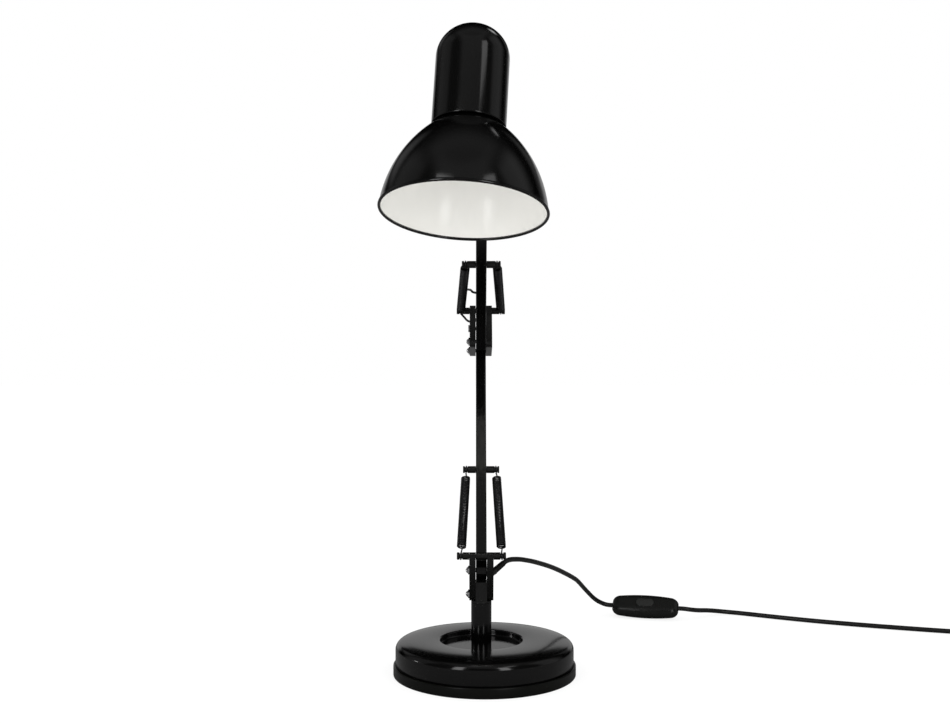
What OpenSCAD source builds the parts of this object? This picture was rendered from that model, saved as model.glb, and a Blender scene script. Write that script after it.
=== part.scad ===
// Desk lamp with a round weighted base, two spring balanced arms and a bell shade.
// Millimetres. Z points up and the lamp faces -Y. The origin is at table level,
// on the axis of the post that the arms swivel on.

/* [Base] */
// Width of the rim that the lamp stands on
rim_d = 170; // [150:1:220]
// Height of the rim
rim_h = 11; // [8:0.5:15]
// Step from the rim's edge in to the cover's wall
rim_step = 2; // [1.5:0.5:5]
// Height of the cover's flat top above the table
cover_h = 31; // [28:1:40]
// Thickness of the sheet that the cover is pressed from
cover_t = 1.2; // [0.8:0.1:1.6]
// Radius of the cover's rounded shoulder
shoulder_r = 6.5; // [4:0.5:9]
// Width of the round recess in the cover's top
recess_d = 77; // [60:1:110]
// Depth of the recess
recess_depth = 5; // [3:0.5:6]
// How far the base's centre lies to the right of the post
base_shift = 3; // [0:0.5:8]
// Thickness of the pad under the weight
pad_t = 2; // [1:0.5:3]

/* [Post] */
// Diameter of the post
post_d = 19; // [17:0.5:24]
// Height of the post's top end above the table
post_top = 66.5; // [60:0.5:90]
// Diameter of the swivel pin that turns in the post
pin_d = 12; // [10:0.5:12.5]
// Wall of the two bushes between the pin and the post
bush_t = 1.4; // [1:0.1:1.8]

/* [Arms] */
// Width of the square arm tubes
bar_w = 10; // [9:0.5:12]
// Wall of the arm tubes
bar_t = 1; // [0.8:0.1:1.5]
// Lower arm from pivot to pivot
lower_len = 250; // [200:5:320]
// Upper arm from pivot to pivot
upper_len = 230; // [200:5:300]
// How far the lower arm leans back
lower_lean = 25; // [5:1:35]
// How far the upper arm leans forward
upper_lean = 42; // [30:1:70]
// Diameter of the pivot bolts
bolt_d = 4; // [3:0.5:5]
// Thickness of the side plates that hold the pivots
plate_t = 5.9; // [4.6:0.1:6.5]
// Gap from an arm tube to the side plate next to it
plate_gap = 0.3; // [0.3:0.1:1]

/* [Springs] */
// Outer diameter of a spring
spring_d = 8; // [6:0.5:9]
// Wire of a spring
wire_d = 1.3; // [1:0.1:1.6]
// Curls of each spring
curls = 16; // [10:1:18]
// Place of the crossbar on the lower arm, from its pivot
lower_hook = 98.5; // [80:0.5:130]
// Place of the crossbar on the upper arm, from its pivot
upper_hook = 97; // [80:0.5:130]
// Diameter of the spring bars' spools
spool_d = 6.8; // [6:0.2:8]

/* [Head] */
// Width of the shade's open mouth
mouth_d = 137; // [120:0.5:160]
// Diameter of the cap that covers the lamp holder
cap_d = 61.5; // [58:0.5:66]
// Height of the cap's lower edge above the edge of the shade's top
cap_gap = 0.6; // [0.4:0.1:2]
// Height of the cap from its lower edge to its top
cap_h = 90; // [86:0.5:120]
// Sheet thickness of the cap and the shade
shade_t = 1; // [0.8:0.1:1.4]
// Tilt of the head away from the stand
head_tilt = 14; // [0:1:40]
// Turn of the head to the left
head_yaw = 13; // [0:1:30]
// Height of the tilt bolt above the cap's lower edge
tilt_up = 43; // [38:0.5:46]
// Distance of the tilt bolt behind the cap
tilt_gap = 9.25; // [8.5:0.25:15]
// Diameter of the lamp holder's screw shell
shell_d = 26.6; // [26:0.1:27]

/* [Cord] */
// Diameter of the mains cord
cord_d = 5; // [4.5:0.1:5.2]
// Length of the switch on the cord
switch_l = 74; // [70:1:80]
// Width of the switch
switch_w = 28; // [26:1:34]
// Thickness of the switch
switch_t = 16; // [15:0.5:18]
// Turns in each layer of the coiled cord
coil_turns = 2.5; // [2:0.5:3]
// Width of the two pin plug
plug_w = 25; // [24:1:28]
// Distance between the plug's pins
plug_pitch = 19; // [18:0.5:19]

/* [Hidden] */
$fn = 48;

// Fits shared by the pieces
fit = 0.05;
seat = 0.1;

// Base
rim_r = rim_d / 2;
cover_r = rim_r - rim_step;
ledge_z = rim_h - 2;
rim_in = cover_r - 3;
recess_r = recess_d / 2;
floor_z = cover_h - recess_depth;
crown = 0.6;
post_r = post_d / 2;
spigot_r = 6;
nut_well_r = 15;
nut_well_top = 13;
weight_h = 19;
weight_core = 24;
post_nut_af = 19;
post_nut_h = 6;

// Post and swivel
pin_r = pin_d / 2;
bush_in = pin_r + fit;
bush_out = bush_in + bush_t;
post_bore = bush_out + fit;
pin_low = floor_z + 8;
flange_t = 1.5;
turret_z = post_top + flange_t;
bush_h = 8;
tang = [-9, 5.5, 18];

// Pivots in the lamp's side view, as [Y, Z]
pivot_a = [-4, turret_z + 28.7];
pivot_b = pivot_a + [18, -22.5];
pivot_c = pivot_a + lower_len * [sin(lower_lean), cos(lower_lean)];
pivot_d = pivot_c + (pivot_b - pivot_a);
pivot_e = pivot_c - [28, 13.5];
pivot_f = pivot_e + [14, 22];
pivot_g = pivot_e + upper_len * [-sin(upper_lean), cos(upper_lean)];
pivot_h = pivot_g + (pivot_f - pivot_e);
tang_bolt = pivot_a + [2, -22.5];
turret_hook = pivot_a + [-14, 15.5];
elbow_hook = pivot_c + [-3.6, 18];
socket_bolt = pivot_g + [1.5, 15.5];

// Arm tubes, side plates and bolts
bar_half = bar_w / 2;
bar_in = bar_half - bar_t;
bar_end = 5;
elbow_end = 7;
bush_len = 16;
bolt_r = bolt_d / 2;
plate_in = bar_half + plate_gap;
plate_out = plate_in + plate_t;
plate_web = 3;
plate_lip = 1.6;
lobe_r = 6;
boss_r = 4.8;
head_r = bolt_r + 1.6;
head_h = 2.2;
nut_af = bolt_d + 3;
nut_h = 1.2;
dome_r = bolt_r + 1.1;
dome_sink = 0.9;
nut_bite = 0.8;
button_h = 1.5;

// Spring bars
rod_r = 2;
rod_end = 0.4;
spool_r = spool_d / 2;
groove_r = 2.4;
turret_span = 22.6;
elbow_span = 24.5;
lower_span = 17.5;
upper_span = 18.3;
turret_groove = 18.8;
elbow_groove = 20.3;
lower_groove = 14.4;
upper_groove = 14.9;
lower_reach = 9.5;
upper_reach = 7;

// Leads, which fill the room in the tubes beside the crossbar's rod
lead_gap = 0.1;
lead_d = bar_in - rod_r - 2 * lead_gap;
lead_side = (bar_in + rod_r) / 2;
lead_in = 14;
lead_out = 26;
elbow_hole = 63;
turret_hole = 30;

// Head, with its own axis upright and the mouth at height 0
mouth_r = mouth_d / 2;
cap_r = cap_d / 2;
cap_in = cap_r - shade_t;
dome_h = 29;
bell_low = 5.5;
bell_high = 51.6;
bell_neck = cap_r - 2.25;
bell_r = (mouth_r - bell_neck) / (cos(bell_low) - cos(bell_high));
bell_top = bell_r * (sin(bell_high) - sin(bell_low));
bell_fold = 1.4;
bead_r = 1.3;
cap_low = bell_top + cap_gap;
head_len = cap_low + cap_h;
cap_shoulder = head_len - dome_h;
tilt_h = cap_low + tilt_up;
tilt_back = cap_r + tilt_gap;
stud_y = pivot_g[0] - 10;
tilt_z = pivot_g[1] + 34.5;
stud_r = 4;
eye_half = 3;
ear_t = 2;
ear_in = eye_half + seat;
ear_out = ear_in + ear_t;
ear_r = 6;
wing_hub = 7;
wing_hub_r = 5;
saddle_t = 2;
saddle_half = 9.5;
rivet_z = 6.5;
rivet_r = 1.6;
saddle_side = 8;
grommet_r = 3.2;
lead_hole = tilt_h + 14.5;
socket_low = pivot_g[1] + 11.5;
socket_h = 11;
socket_top = socket_low + socket_h;
socket_r = norm([plate_in, 5.2]);
socket_wall = 4.5;
collar_t = 2;
holder_r = 19.5;
holder_hole = holder_r + 1;
holder_low = bell_top - 12.9;
holder_top = holder_low + 60;
holder_bore = 40;
shell_r = shell_d / 2;
shell_t = 1;
contact_r = 5;

// Cord
cord_r = cord_d / 2;
gland_r = 3.1;
gland_from = [plate_out - 1.6, 27, turret_z + 19.5];
gland_to = gland_from + [12, 17, 6.9];
switch_mid = [186.3, 229.5, 11.9];
switch_turn = -14;
switch_roll = 40;
switch_wall = 1.6;
switch_grip = 3;
switch_near = -6;
lead_route = [gland_to, gland_to + [3.6, 5.1, 1.6], [34, 61.5, 95.2], [47, 80.5, 90.6],
    [60.5, 102, 83.8], [75.5, 128, 74.6], [90, 156, 63.6], [105.5, 188, 49.8], [114.9, 210, 37.4],
    [122.5, 223.5, 27.9], [129.2, 232.8, 20.4], [136.5, 238.6, 15], switch_in(-1, switch_near),
    switch_in(-1, switch_grip)];
lie = cord_r + 0.1;
tail_route = [switch_in(1, switch_grip), switch_in(1, switch_near), [236.5, 219.6, 10.7],
    [245.6, 225, 8.9], [255, 233, 7.1], [265.8, 239.8, 5.1], [278.2, 242.3, 3.5], [292, 240.5, lie],
    [308, 232, lie], [328, 221, lie], [350, 209.5, lie], [374, 198, lie], [400, 187, lie],
    [427, 176.5, lie], [455, 166.5, lie], [483, 157, lie], [510, 148.5, 2.7],
    [531, 142.5, 3], [545, 138.2, 3.4], [555, 135.8, 3.7], [562, 135.2, 3.7]];
rocker_l = 20;
rocker_w = 11;
rocker_pin = switch_t / 2 - 2.3;
rocker_pin_r = 1;
rocker_reach = (switch_w - switch_t) / 2 + 3.7;
rocker_high = switch_t / 2 + 1;
rocker_round = 40;
coil_in = 22;
coil_step = cord_d + 1.3;
coil_out = coil_in + coil_turns * coil_step;
coil_z = 3.7;
tie_w = 5;
tie_t = 1;
plug_t = 14;
plug_l = 52;
relief_l = 20;
relief_r = 5;
plug_neck = [11, 10];
plug_taper = 16;
pin_len = 19;
prong_r = 2;
coil_ring = 24;
coil_start = [567, 135.2, coil_z];
coil_mid = [coil_start[0], coil_start[1] - coil_out, 0];

// Gives the points of an arc in a profile, from one angle to another
function arc(mid, r, from, to, steps) =
    [for (i = [0:steps]) mid + r * [cos(from + (to - from) * i / steps),
        sin(from + (to - from) * i / steps)]];

// Gives a place on the switch's axis, at a depth from its left or right end
function switch_in(side, depth) = switch_mid
    + side * (switch_l / 2 - depth) * [cos(switch_turn), sin(switch_turn), 0];

// Gives the cap's outer radius at a height above the mouth
function cap_r_at(z) = z < cap_shoulder ? cap_r : cap_r * sqrt(1 - pow((z - cap_shoulder) / dome_h, 2));

// Gives a vector its unit length
function unit(v) = v / norm(v);

// Gives the direction of a route at each of its points
function headings(path) = [for (i = [0:len(path) - 1])
    unit(path[min(i + 1, len(path) - 1)] - path[max(i - 1, 0)])];

// Carries a side direction along a route without twisting it
function carried(dirs, side) =
    [for (i = 0, n = unit(side - (side * dirs[0]) * dirs[0]); i < len(dirs);
        i = i + 1,
        n = i < len(dirs) ? unit(n - (n * dirs[i]) * dirs[i]) : n) n];

// Rounds a hand laid route through its points with a smooth curve
function spline(p, steps) = concat([p[0]],
    [for (i = [0:len(p) - 2], k = [1:steps])
        let (t = k / steps, a = p[max(i - 1, 0)], b = p[i], c = p[i + 1],
            d = p[min(i + 2, len(p) - 1)])
        0.5 * (2 * b + (c - a) * t + (2 * a - 5 * b + 4 * c - d) * t * t
            + (3 * b - a - 3 * c + d) * t * t * t)]);

// Gives the length of a route
function route_length(p) = len(p) < 2 ? 0
    : [for (i = 1, s = norm(p[1] - p[0]); i < len(p); i = i + 1,
        s = i < len(p) ? s + norm(p[i] - p[i - 1]) : s) s][len(p) - 2];

// Gives the least gap of a wound tube to itself, leaving out near neighbours
function least_gap(p, d, skip) = min([for (i = [0:len(p) - 1 - skip],
    j = [i + skip:len(p) - 1]) norm(p[i] - p[j])]) - d;

// Sweeps a tube along a route, with flat ends square to it
module swept_tube(path, r, sides, side = [0, 0, 1]) {
    dirs = headings(path);
    n = carried(dirs, side);
    last = (len(path) - 1) * sides;
    points = [for (i = [0:len(path) - 1], k = [0:sides - 1])
        path[i] + r * (cos(360 * k / sides) * n[i]
            + sin(360 * k / sides) * cross(dirs[i], n[i]))];
    wall = [for (i = [0:len(path) - 2], k = [0:sides - 1], half = [0, 1])
        let (a = i * sides + k, b = i * sides + (k + 1) % sides)
        half == 0 ? [a, a + sides, b + sides] : [a, b + sides, b]];
    start = [for (k = [1:sides - 2]) [0, k, k + 1]];
    finish = [for (k = [1:sides - 2]) [last, last + k + 1, last + k]];
    polyhedron(points, concat(wall, start, finish), convexity = 10);
}

// Lays a shape drawn in the side view flat against the plane X = 0
module side_view() rotate([90, 0, 90]) children();

// Puts a shape that runs along its own Z at a pivot, running along X
module across(p) translate([0, p[0], p[1]]) rotate([0, 90, 0]) children();

// Puts a shape that runs along its own Z along an arm that leans back
module along(p, lean) translate([0, p[0], p[1]]) rotate([-lean, 0, 0]) children();

module lower_arm() along(pivot_a, lower_lean) children();
module lower_link() along(pivot_b, lower_lean) children();
module upper_arm() along(pivot_e, -upper_lean) children();
module upper_link() along(pivot_f, -upper_lean) children();

// Turns the parts above the head's swivel to the left
module yoke_place() translate([0, stud_y, tilt_z]) rotate([0, 0, -head_yaw]) children();

// Puts a part of the head, drawn on an upright axis, where the head hangs
module head_place() yoke_place() rotate([-head_tilt, 0, 0])
    translate([0, -tilt_back, -tilt_h]) children();

// Round bar from one height to another
module rod(r, from, to) translate([0, 0, from]) cylinder(r = r, h = to - from);

// Tube from one height to another
module tube(r, bore, from, to) difference() {
    rod(r, from, to);
    rod(bore, from - 1, to + 1);
}

// Outline of a side plate, drawn tight round its lobes
module plate_outline(lobes, grow = 0) hull()
    for (l = lobes) translate([l[0][0], l[0][1]]) circle(r = l[1] + grow, $fn = 32);

// Side plate with a raised lip round a shallow pocket, a raised boss at each nut,
// holes for the bolts and holes for the spring bars' rods
module side_plate(lobes, bolts, rods, bosses) side_view() translate([0, 0, plate_in])
    difference() {
        linear_extrude(plate_t) plate_outline(lobes);
        translate([0, 0, plate_web]) linear_extrude(plate_t) difference() {
            plate_outline(lobes, -plate_lip);
            for (p = bosses) translate(p) circle(r = boss_r);
        }
        for (p = bolts) translate(p) rod(bolt_r + fit, -1, plate_t + 1);
        for (p = rods) translate(p) rod(rod_r + fit, -1, plate_t + 1);
    }

// Pivot bolt: a pan head sunk in the right plate and a domed nut on the left one
module pivot_bolt(p) across(p) {
    bolt_shank(nut_h + nut_bite);
    domed_nut(plate_out);
}

// Pivot bolt that ends in a low button on the left plate
module button_bolt(p) across(p) {
    bolt_shank(button_h);
    rod(head_r, -plate_out - button_h, -plate_out);
}

// Pan head and shank of a pivot bolt, which stands out of the left plate by a length
module bolt_shank(out) {
    rod(bolt_r, -plate_out - out, plate_in + plate_web);
    rod(head_r, plate_in + plate_web, plate_in + plate_web + head_h);
}

// Domed nut whose flat seat is at the given distance to the left
module domed_nut(at) rotate([180, 0, 0]) difference() {
    union() {
        translate([0, 0, at]) cylinder(d = nut_af / cos(30), h = nut_h, $fn = 6);
        translate([0, 0, at + nut_h - dome_sink]) rotate_extrude() intersection() {
            circle(r = dome_r);
            translate([0, dome_sink]) square(dome_r);
        }
    }
    rod(bolt_r + fit, at - 1, at + nut_h + nut_bite + seat);
}

// Flush pin that is riveted over in the pockets of both plates
module pivot_pin(p) across(p) {
    rod(bolt_r, -plate_in - plate_web, plate_in + plate_web);
    for (side = [0, 1]) mirror([0, 0, side])
        rod(bolt_r + 1, plate_in + plate_web, plate_in + plate_web + 1.5);
}

// Spool that a spring hooks on, from one place on its rod to another
module spool(from, to, groove) {
    profile = [[rod_r + fit, from], [spool_r, from], [spool_r, groove - 1.5],
        [groove_r, groove - 1.1], [groove_r, groove + 1.1], [spool_r, groove + 1.5],
        [spool_r, to - rod_end], [spool_r - rod_end, to], [rod_r + fit, to]];
    for (side = [0, 1]) mirror([0, 0, side]) rotate_extrude() polygon(profile);
}

// Spring bar: a steel rod, a spool at each end and a spacer between the plates
module spring_bar(p, span, groove) across(p) {
    rod(rod_r, -span + rod_end, span - rod_end);
    spool(plate_out + seat, span, groove);
    tube(spool_r, rod_r + fit, -plate_in + seat, plate_in - seat);
}

// Crossbar of an arm: a rod through the tube with a spool on each side
module arm_crossbar(span, groove) rotate([0, 90, 0]) {
    rod(rod_r, -span + rod_end, span - rod_end);
    spool(bar_half + seat, span, groove);
}

// Square tube of an arm, with holes for its pivots and its crossbar
module arm_tube(length, low, high, hook) difference() {
    translate([0, 0, -low]) linear_extrude(length + low + high) difference() {
        rounded_square(bar_half, 1);
        rounded_square(bar_in, 0.4);
    }
    for (z = [0, length]) translate([-bar_w, 0, z]) rotate([0, 90, 0])
        cylinder(r = bolt_r + 0.3, h = 2 * bar_w);
    if (hook > 0) translate([-bar_w, 0, hook]) rotate([0, 90, 0])
        cylinder(r = rod_r + fit, h = 2 * bar_w);
    children();
}

// Square with rounded corners
module rounded_square(half, r) polygon([for (q = [0:3])
    each arc((half - r) * [cos(90 * q) - sin(90 * q), sin(90 * q) + cos(90 * q)],
        r, 90 * q, 90 * q + 90, 4)]);

// Moulded ends of an arm tube, bored for the pivot bolts
module arm_bushes(length, low, high) for (e = [[0, -low, 1], [length, high, -1]])
    difference() {
        translate([0, 0, e[0] + e[1] + e[2] * bush_len / 2]) linear_extrude(bush_len, center = true)
            rounded_square(bar_in - fit, 0.4);
        translate([-bar_w, 0, e[0]]) rotate([0, 90, 0]) cylinder(r = bolt_r + fit, h = 2 * bar_w);
    }

// Points of a spring on its own axis: the curls, with a straight hook at each end
function spring_path(length, low) =
    let (turn_r = (spring_d - wire_d) / 2, hook = groove_r + 0.35, lead = (low - hook) / 2,
        body = length - 2 * low, n = curls * 8)
    concat([[0, 0, hook], [0, 0, hook + lead * 0.6], [turn_r * 0.3, 0, hook + lead]],
        [for (i = [0:n]) [turn_r * cos(45 * i), turn_r * sin(45 * i), low + body * i / n]],
        [[turn_r * 0.3, 0, length - hook - lead], [0, 0, length - hook - lead * 0.6],
            [0, 0, length - hook]]);

// Wound spring between two hooks, each given as [X, Y, Z]
module spring(from, to, low) {
    v = to - from;
    path = spring_path(norm(v), low);
    translate(from) rotate([0, acos(v[2] / norm(v)), atan2(v[1], v[0])])
        swept_tube(path, wire_d / 2, 6, [1, 0, 0]);
}

// Gives a point of the lower arm's crossbar groove or of the upper arm's
function lower_hook_at(side) =
    let (p = pivot_a + lower_hook * [sin(lower_lean), cos(lower_lean)])
    [side * lower_groove, p[0], p[1]];
function upper_hook_at(side) =
    let (p = pivot_e + upper_hook * [-sin(upper_lean), cos(upper_lean)])
    [side * upper_groove, p[0], p[1]];

module lower_spring(side)
    spring([side * turret_groove, turret_hook[0], turret_hook[1]], lower_hook_at(side), lower_reach);

module upper_spring(side)
    spring([side * elbow_groove, elbow_hook[0], elbow_hook[1]], upper_hook_at(side), upper_reach);

// Profile of the cover's outer face, or of its inner face when drawn in by the sheet
function cover_line(inset) = concat(
    [[0, cover_h - inset], [cover_r - shoulder_r - 20, cover_h - inset]],
    arc([cover_r - shoulder_r, cover_h - crown - shoulder_r], shoulder_r - inset, 87, 0, 10));

// Pressed cover of the base, with a crowned top and a round recess for the post
module base_cover() color("#141414") difference() {
    union() {
        translate([base_shift, 0, 0]) difference() {
            rotate_extrude($fn = 128)
                polygon(concat(cover_line(0), [[cover_r, ledge_z], [0, ledge_z]]));
            rotate_extrude($fn = 128) polygon(concat(cover_line(cover_t),
                [[cover_r - cover_t, ledge_z - 1], [0, ledge_z - 1]]));
        }
        rod(recess_r + cover_t, floor_z - cover_t, cover_h - cover_t / 2);
    }
    recess_cut();
}

// Cut that makes the recess and the post's hole
module recess_cut() {
    top_r = recess_depth * 0.5;
    low_r = recess_depth * 0.3;
    rotate_extrude($fn = 96) polygon(concat([[0, floor_z]],
        arc([recess_r - low_r, floor_z + low_r], low_r, -90, 0, 3),
        arc([recess_r + top_r, cover_h - top_r], top_r, 180, 90, 5),
        [[recess_r + top_r, cover_h + 1], [0, cover_h + 1]]));
    rod(spigot_r + 0.2, 0, cover_h);
}

module base_rim() color("#1b1b18") translate([base_shift, 0, 0])
    rotate_extrude($fn = 128) polygon(concat([[rim_in, 0], [rim_r - 0.5, 0], [rim_r, 0.5]],
        arc([rim_r - 0.8, rim_h - 0.8], 0.8, 0, 90, 4),
        [[cover_r + fit, rim_h], [cover_r + fit, ledge_z], [rim_in, ledge_z]]));

// Cast weight, with a well below for the nut that holds the post
module base_weight() color("#2a2a2a") difference() {
    translate([base_shift, 0, 0]) rotate_extrude($fn = 96) polygon([[0, pad_t],
        [rim_in - seat, pad_t], [rim_in - seat, weight_h - 2], [rim_in - 6, weight_h],
        [weight_core + 6, weight_h], [weight_core, floor_z - cover_t], [0, floor_z - cover_t]]);
    rod(spigot_r + fit, 0, cover_h);
    rod(nut_well_r, 0, nut_well_top);
}

module base_pad() color("#202020") translate([base_shift, 0, 0])
    rotate_extrude($fn = 96) square([rim_in - seat, pad_t]);

// Post with a spigot through the cover and the weight, bored for the bushes
module post_tube() color("#101010") difference() {
    rotate_extrude() polygon([[0, 4], [spigot_r, 4], [spigot_r, floor_z], [post_r, floor_z],
        [post_r, post_top - 0.4], [post_r - 0.4, post_top], [0, post_top]]);
    rod(post_bore, pin_low - 2, post_top + 1);
}

module post_nut() color("#8a8a8a") {
    washer_low = nut_well_top - 1.5;
    tube(nut_well_r - 3, spigot_r + fit, washer_low, nut_well_top);
    difference() {
        translate([0, 0, washer_low - post_nut_h])
            cylinder(d = post_nut_af / cos(30), h = post_nut_h, $fn = 6);
        rod(spigot_r + fit, washer_low - post_nut_h - 1, nut_well_top);
    }
}

// Bush at the post's top, with a flange that the turret turns on, and one below
module swivel_bushes() color("#181818") {
    tube(bush_out, bush_in, post_top - bush_h, post_top);
    tube(post_r, bush_in, post_top, turret_z);
    tube(bush_out, bush_in, pin_low + 2, pin_low + 2 + bush_h);
}

// Swivel pin, with a flat tang on top that the turret's plates clamp
module swivel_pin() color("#1a1a18") difference() {
    union() {
        rod(pin_r, pin_low, turret_z);
        translate([-plate_in, tang[0], turret_z]) cube([2 * plate_in, tang[1] - tang[0], tang[2]]);
    }
    across(tang_bolt) rod(bolt_r + fit, -20, 20);
}

turret_lobes = [[pivot_a, lobe_r], [pivot_b, lobe_r], [tang_bolt, lobe_r],
    [turret_hook, spool_r], [[gland_from[1] - 3, gland_from[2] - 0.3], gland_r + 1.6]];

module turret_plate_left() color("#1a1a18") mirror([1, 0, 0])
    side_plate(turret_lobes, [pivot_a, pivot_b, tang_bolt], [turret_hook], [pivot_a, tang_bolt]);

module turret_plate_right() color("#1a1a18") difference() {
    side_plate(turret_lobes, [pivot_a, pivot_b, tang_bolt], [turret_hook], [turret_hook]);
    translate(gland_from) gland_line() rod(gland_r + fit, -6, 30);
}

module turret_bolts() color("#c9c9c9") {
    pivot_bolt(pivot_a);
    pivot_bolt(tang_bolt);
    pivot_pin(pivot_b);
}

module turret_anchor() color("#161616") spring_bar(turret_hook, turret_span, turret_groove);

// Turns a shape's Z to the direction in which the cord leaves the turret
module gland_line() {
    v = gland_to - gland_from;
    rotate([0, acos(v[2] / norm(v)), atan2(v[1], v[0])]) children();
}

module cord_gland() color("#1c1c1a") translate(gland_from) gland_line()
    rotate_extrude() polygon([[0, -1], [gland_r, -1], [gland_r, 5],
        [cord_r + 0.4, norm(gland_to - gland_from)], [0, norm(gland_to - gland_from)]]);

module lower_front_bar() color("#121212") lower_arm()
    arm_tube(lower_len, bar_end, bar_end, lower_hook) {
        side_hole(lower_len - lead_out);
        side_hole(turret_hole);
    }

// Hole in an arm tube's left wall that a lead passes
module side_hole(z) translate([-bar_w, 0, z]) rotate([0, 90, 0])
    cylinder(r = lead_d / 2 + 0.4, h = bar_w);

module lower_front_bushes() color("#181818") lower_arm()
    arm_bushes(lower_len, bar_end, bar_end);

module lower_crossbar() color("#161616") lower_arm() translate([0, 0, lower_hook])
    arm_crossbar(lower_span, lower_groove);

module lower_rear_bar() color("#121212") lower_link()
    arm_tube(lower_len, bar_end, bar_end, 0);

module lower_rear_bushes() color("#181818") lower_link()
    arm_bushes(lower_len, bar_end, bar_end);

module lower_spring_left() color("#0e0e0e") lower_spring(-1);

module lower_spring_right() color("#0e0e0e") lower_spring(1);

elbow_lobes = [[pivot_c, lobe_r], [pivot_d, lobe_r - 0.5], [pivot_e, lobe_r], [pivot_f, lobe_r],
    [elbow_hook, spool_r + 2]];

module elbow_plate_left() color("#1a1a18") mirror([1, 0, 0])
    side_plate(elbow_lobes, [pivot_c, pivot_d, pivot_e, pivot_f], [elbow_hook],
        [pivot_c, pivot_d, pivot_e]);

module elbow_plate_right() color("#1a1a18")
    side_plate(elbow_lobes, [pivot_c, pivot_d, pivot_e, pivot_f], [elbow_hook], []);

module elbow_bolts() color("#c9c9c9") {
    for (p = [pivot_d, pivot_e]) pivot_bolt(p);
    button_bolt(pivot_c);
    pivot_pin(pivot_f);
}

module elbow_anchor() color("#161616") spring_bar(elbow_hook, elbow_span, elbow_groove);

module upper_front_bar() color("#121212") upper_arm()
    arm_tube(upper_len, elbow_end, bar_end, upper_hook) {
        side_hole(elbow_hole);
        side_hole(upper_len - lead_out);
    }

module upper_front_bushes() color("#181818") upper_arm()
    arm_bushes(upper_len, elbow_end, bar_end);

module upper_crossbar() color("#161616") upper_arm() translate([0, 0, upper_hook])
    arm_crossbar(upper_span, upper_groove);

module upper_rear_bar() color("#121212") upper_link()
    arm_tube(upper_len, bar_end, bar_end, 0);

module upper_rear_bushes() color("#181818") upper_link()
    arm_bushes(upper_len, bar_end, bar_end);

module upper_spring_left() color("#0e0e0e") upper_spring(-1);

module upper_spring_right() color("#0e0e0e") upper_spring(1);

// Lead inside an arm tube, beside the crossbar's rod
module inner_lead(length)
    swept_tube([for (i = [0:4]) [0, lead_side, lead_in + (length - 2 * lead_in) * i / 4]],
        lead_d / 2, 8, [1, 0, 0]);

module lower_lead() color("#181818") lower_arm() inner_lead(lower_len);

module upper_lead() color("#181818") upper_arm() inner_lead(upper_len);

// Gives a point of the upper arm, and one set off from the elbow's lower pivot
function on_upper_arm(x, y, z) = [x, pivot_e[0] + y * cos(upper_lean) - z * sin(upper_lean),
    pivot_e[1] + y * sin(upper_lean) + z * cos(upper_lean)];
function by_elbow(x, y, z) = [x, pivot_c[0] + y, pivot_c[1] + z];

// Free loop of the lead at the elbow, from the upper arm's tube to the left plate
elbow_route = [on_upper_arm(-bar_half - 0.1, 0, elbow_hole), on_upper_arm(-7.5, 1.4, 62.3),
    on_upper_arm(-9, 9.1, 57.5), by_elbow(-10, -49.7, 36.7), by_elbow(-11.6, -39.7, 37.7),
    by_elbow(-14, -30.7, 38.1), by_elbow(-17.4, -21.7, 36.9), by_elbow(-20.6, -12.7, 33.3),
    by_elbow(-22.6, -4.2, 27.5), by_elbow(-22.6, 2.3, 21.2), by_elbow(-20.2, 5.5, 15.7),
    by_elbow(-16.8, 5.3, 11.7), by_elbow(-13.6, 3.7, 8.3), by_elbow(-11.2, 3, 7.3),
    by_elbow(-plate_in - plate_web - 0.3, 2.9, 7.3)];

module elbow_lead() color("#181818") swept_tube(spline(elbow_route, 2), lead_d / 2, 8);

head_lobes = [[pivot_g, lobe_r], [pivot_h, lobe_r], [socket_bolt, lobe_r - 0.5]];

module head_plate_left() color("#1a1a18") mirror([1, 0, 0])
    side_plate(head_lobes, [pivot_g, pivot_h, socket_bolt], [], [pivot_g, pivot_h, socket_bolt]);

module head_plate_right() color("#1a1a18")
    side_plate(head_lobes, [pivot_g, pivot_h, socket_bolt], [], []);

module head_bolts() color("#c9c9c9")
    for (p = [pivot_g, pivot_h, socket_bolt]) pivot_bolt(p);

// Socket between the head's plates, with the upright bore that the stud turns in
module head_socket() color("#1a1a18") difference() {
    union() {
        translate([0, stud_y, 0]) rod(socket_r, socket_low, socket_top);
        translate([-plate_in, stud_y + stud_r, socket_low])
            cube([2 * plate_in, socket_bolt[0] + socket_wall - stud_y - stud_r, socket_h]);
    }
    translate([0, stud_y, 0]) rod(stud_r + fit, socket_low - 1, socket_top + 1);
    across(socket_bolt) rod(bolt_r + fit, -20, 20);
}

// Stud with a collar on the socket and a flat eye for the tilt bolt
module head_stud() color("#9a9a9a") yoke_place() difference() {
    union() {
        rod(stud_r, socket_low - 3 - tilt_z, socket_top - tilt_z);
        rod(socket_r, socket_top - tilt_z, socket_top + collar_t - tilt_z);
        translate([-eye_half, -5, socket_top - tilt_z]) cube([2 * eye_half, 10, tilt_z - socket_top]);
        rotate([0, 90, 0]) rod(ear_r, -eye_half, eye_half);
    }
    rotate([0, 90, 0]) rod(bolt_r + fit, -20, 20);
    translate([0, 0, socket_low - 1.5 - tilt_z]) tube(stud_r + 1, stud_r - 0.6, 0, 1.3);
}

module stud_clip() color("#6a6a6a") yoke_place() difference() {
    tube(6, stud_r - 0.55, socket_low - 1.45 - tilt_z, socket_low - 0.25 - tilt_z);
    translate([-2, 0, socket_low - 3 - tilt_z]) cube([4, 10, 4]);
}

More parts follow.
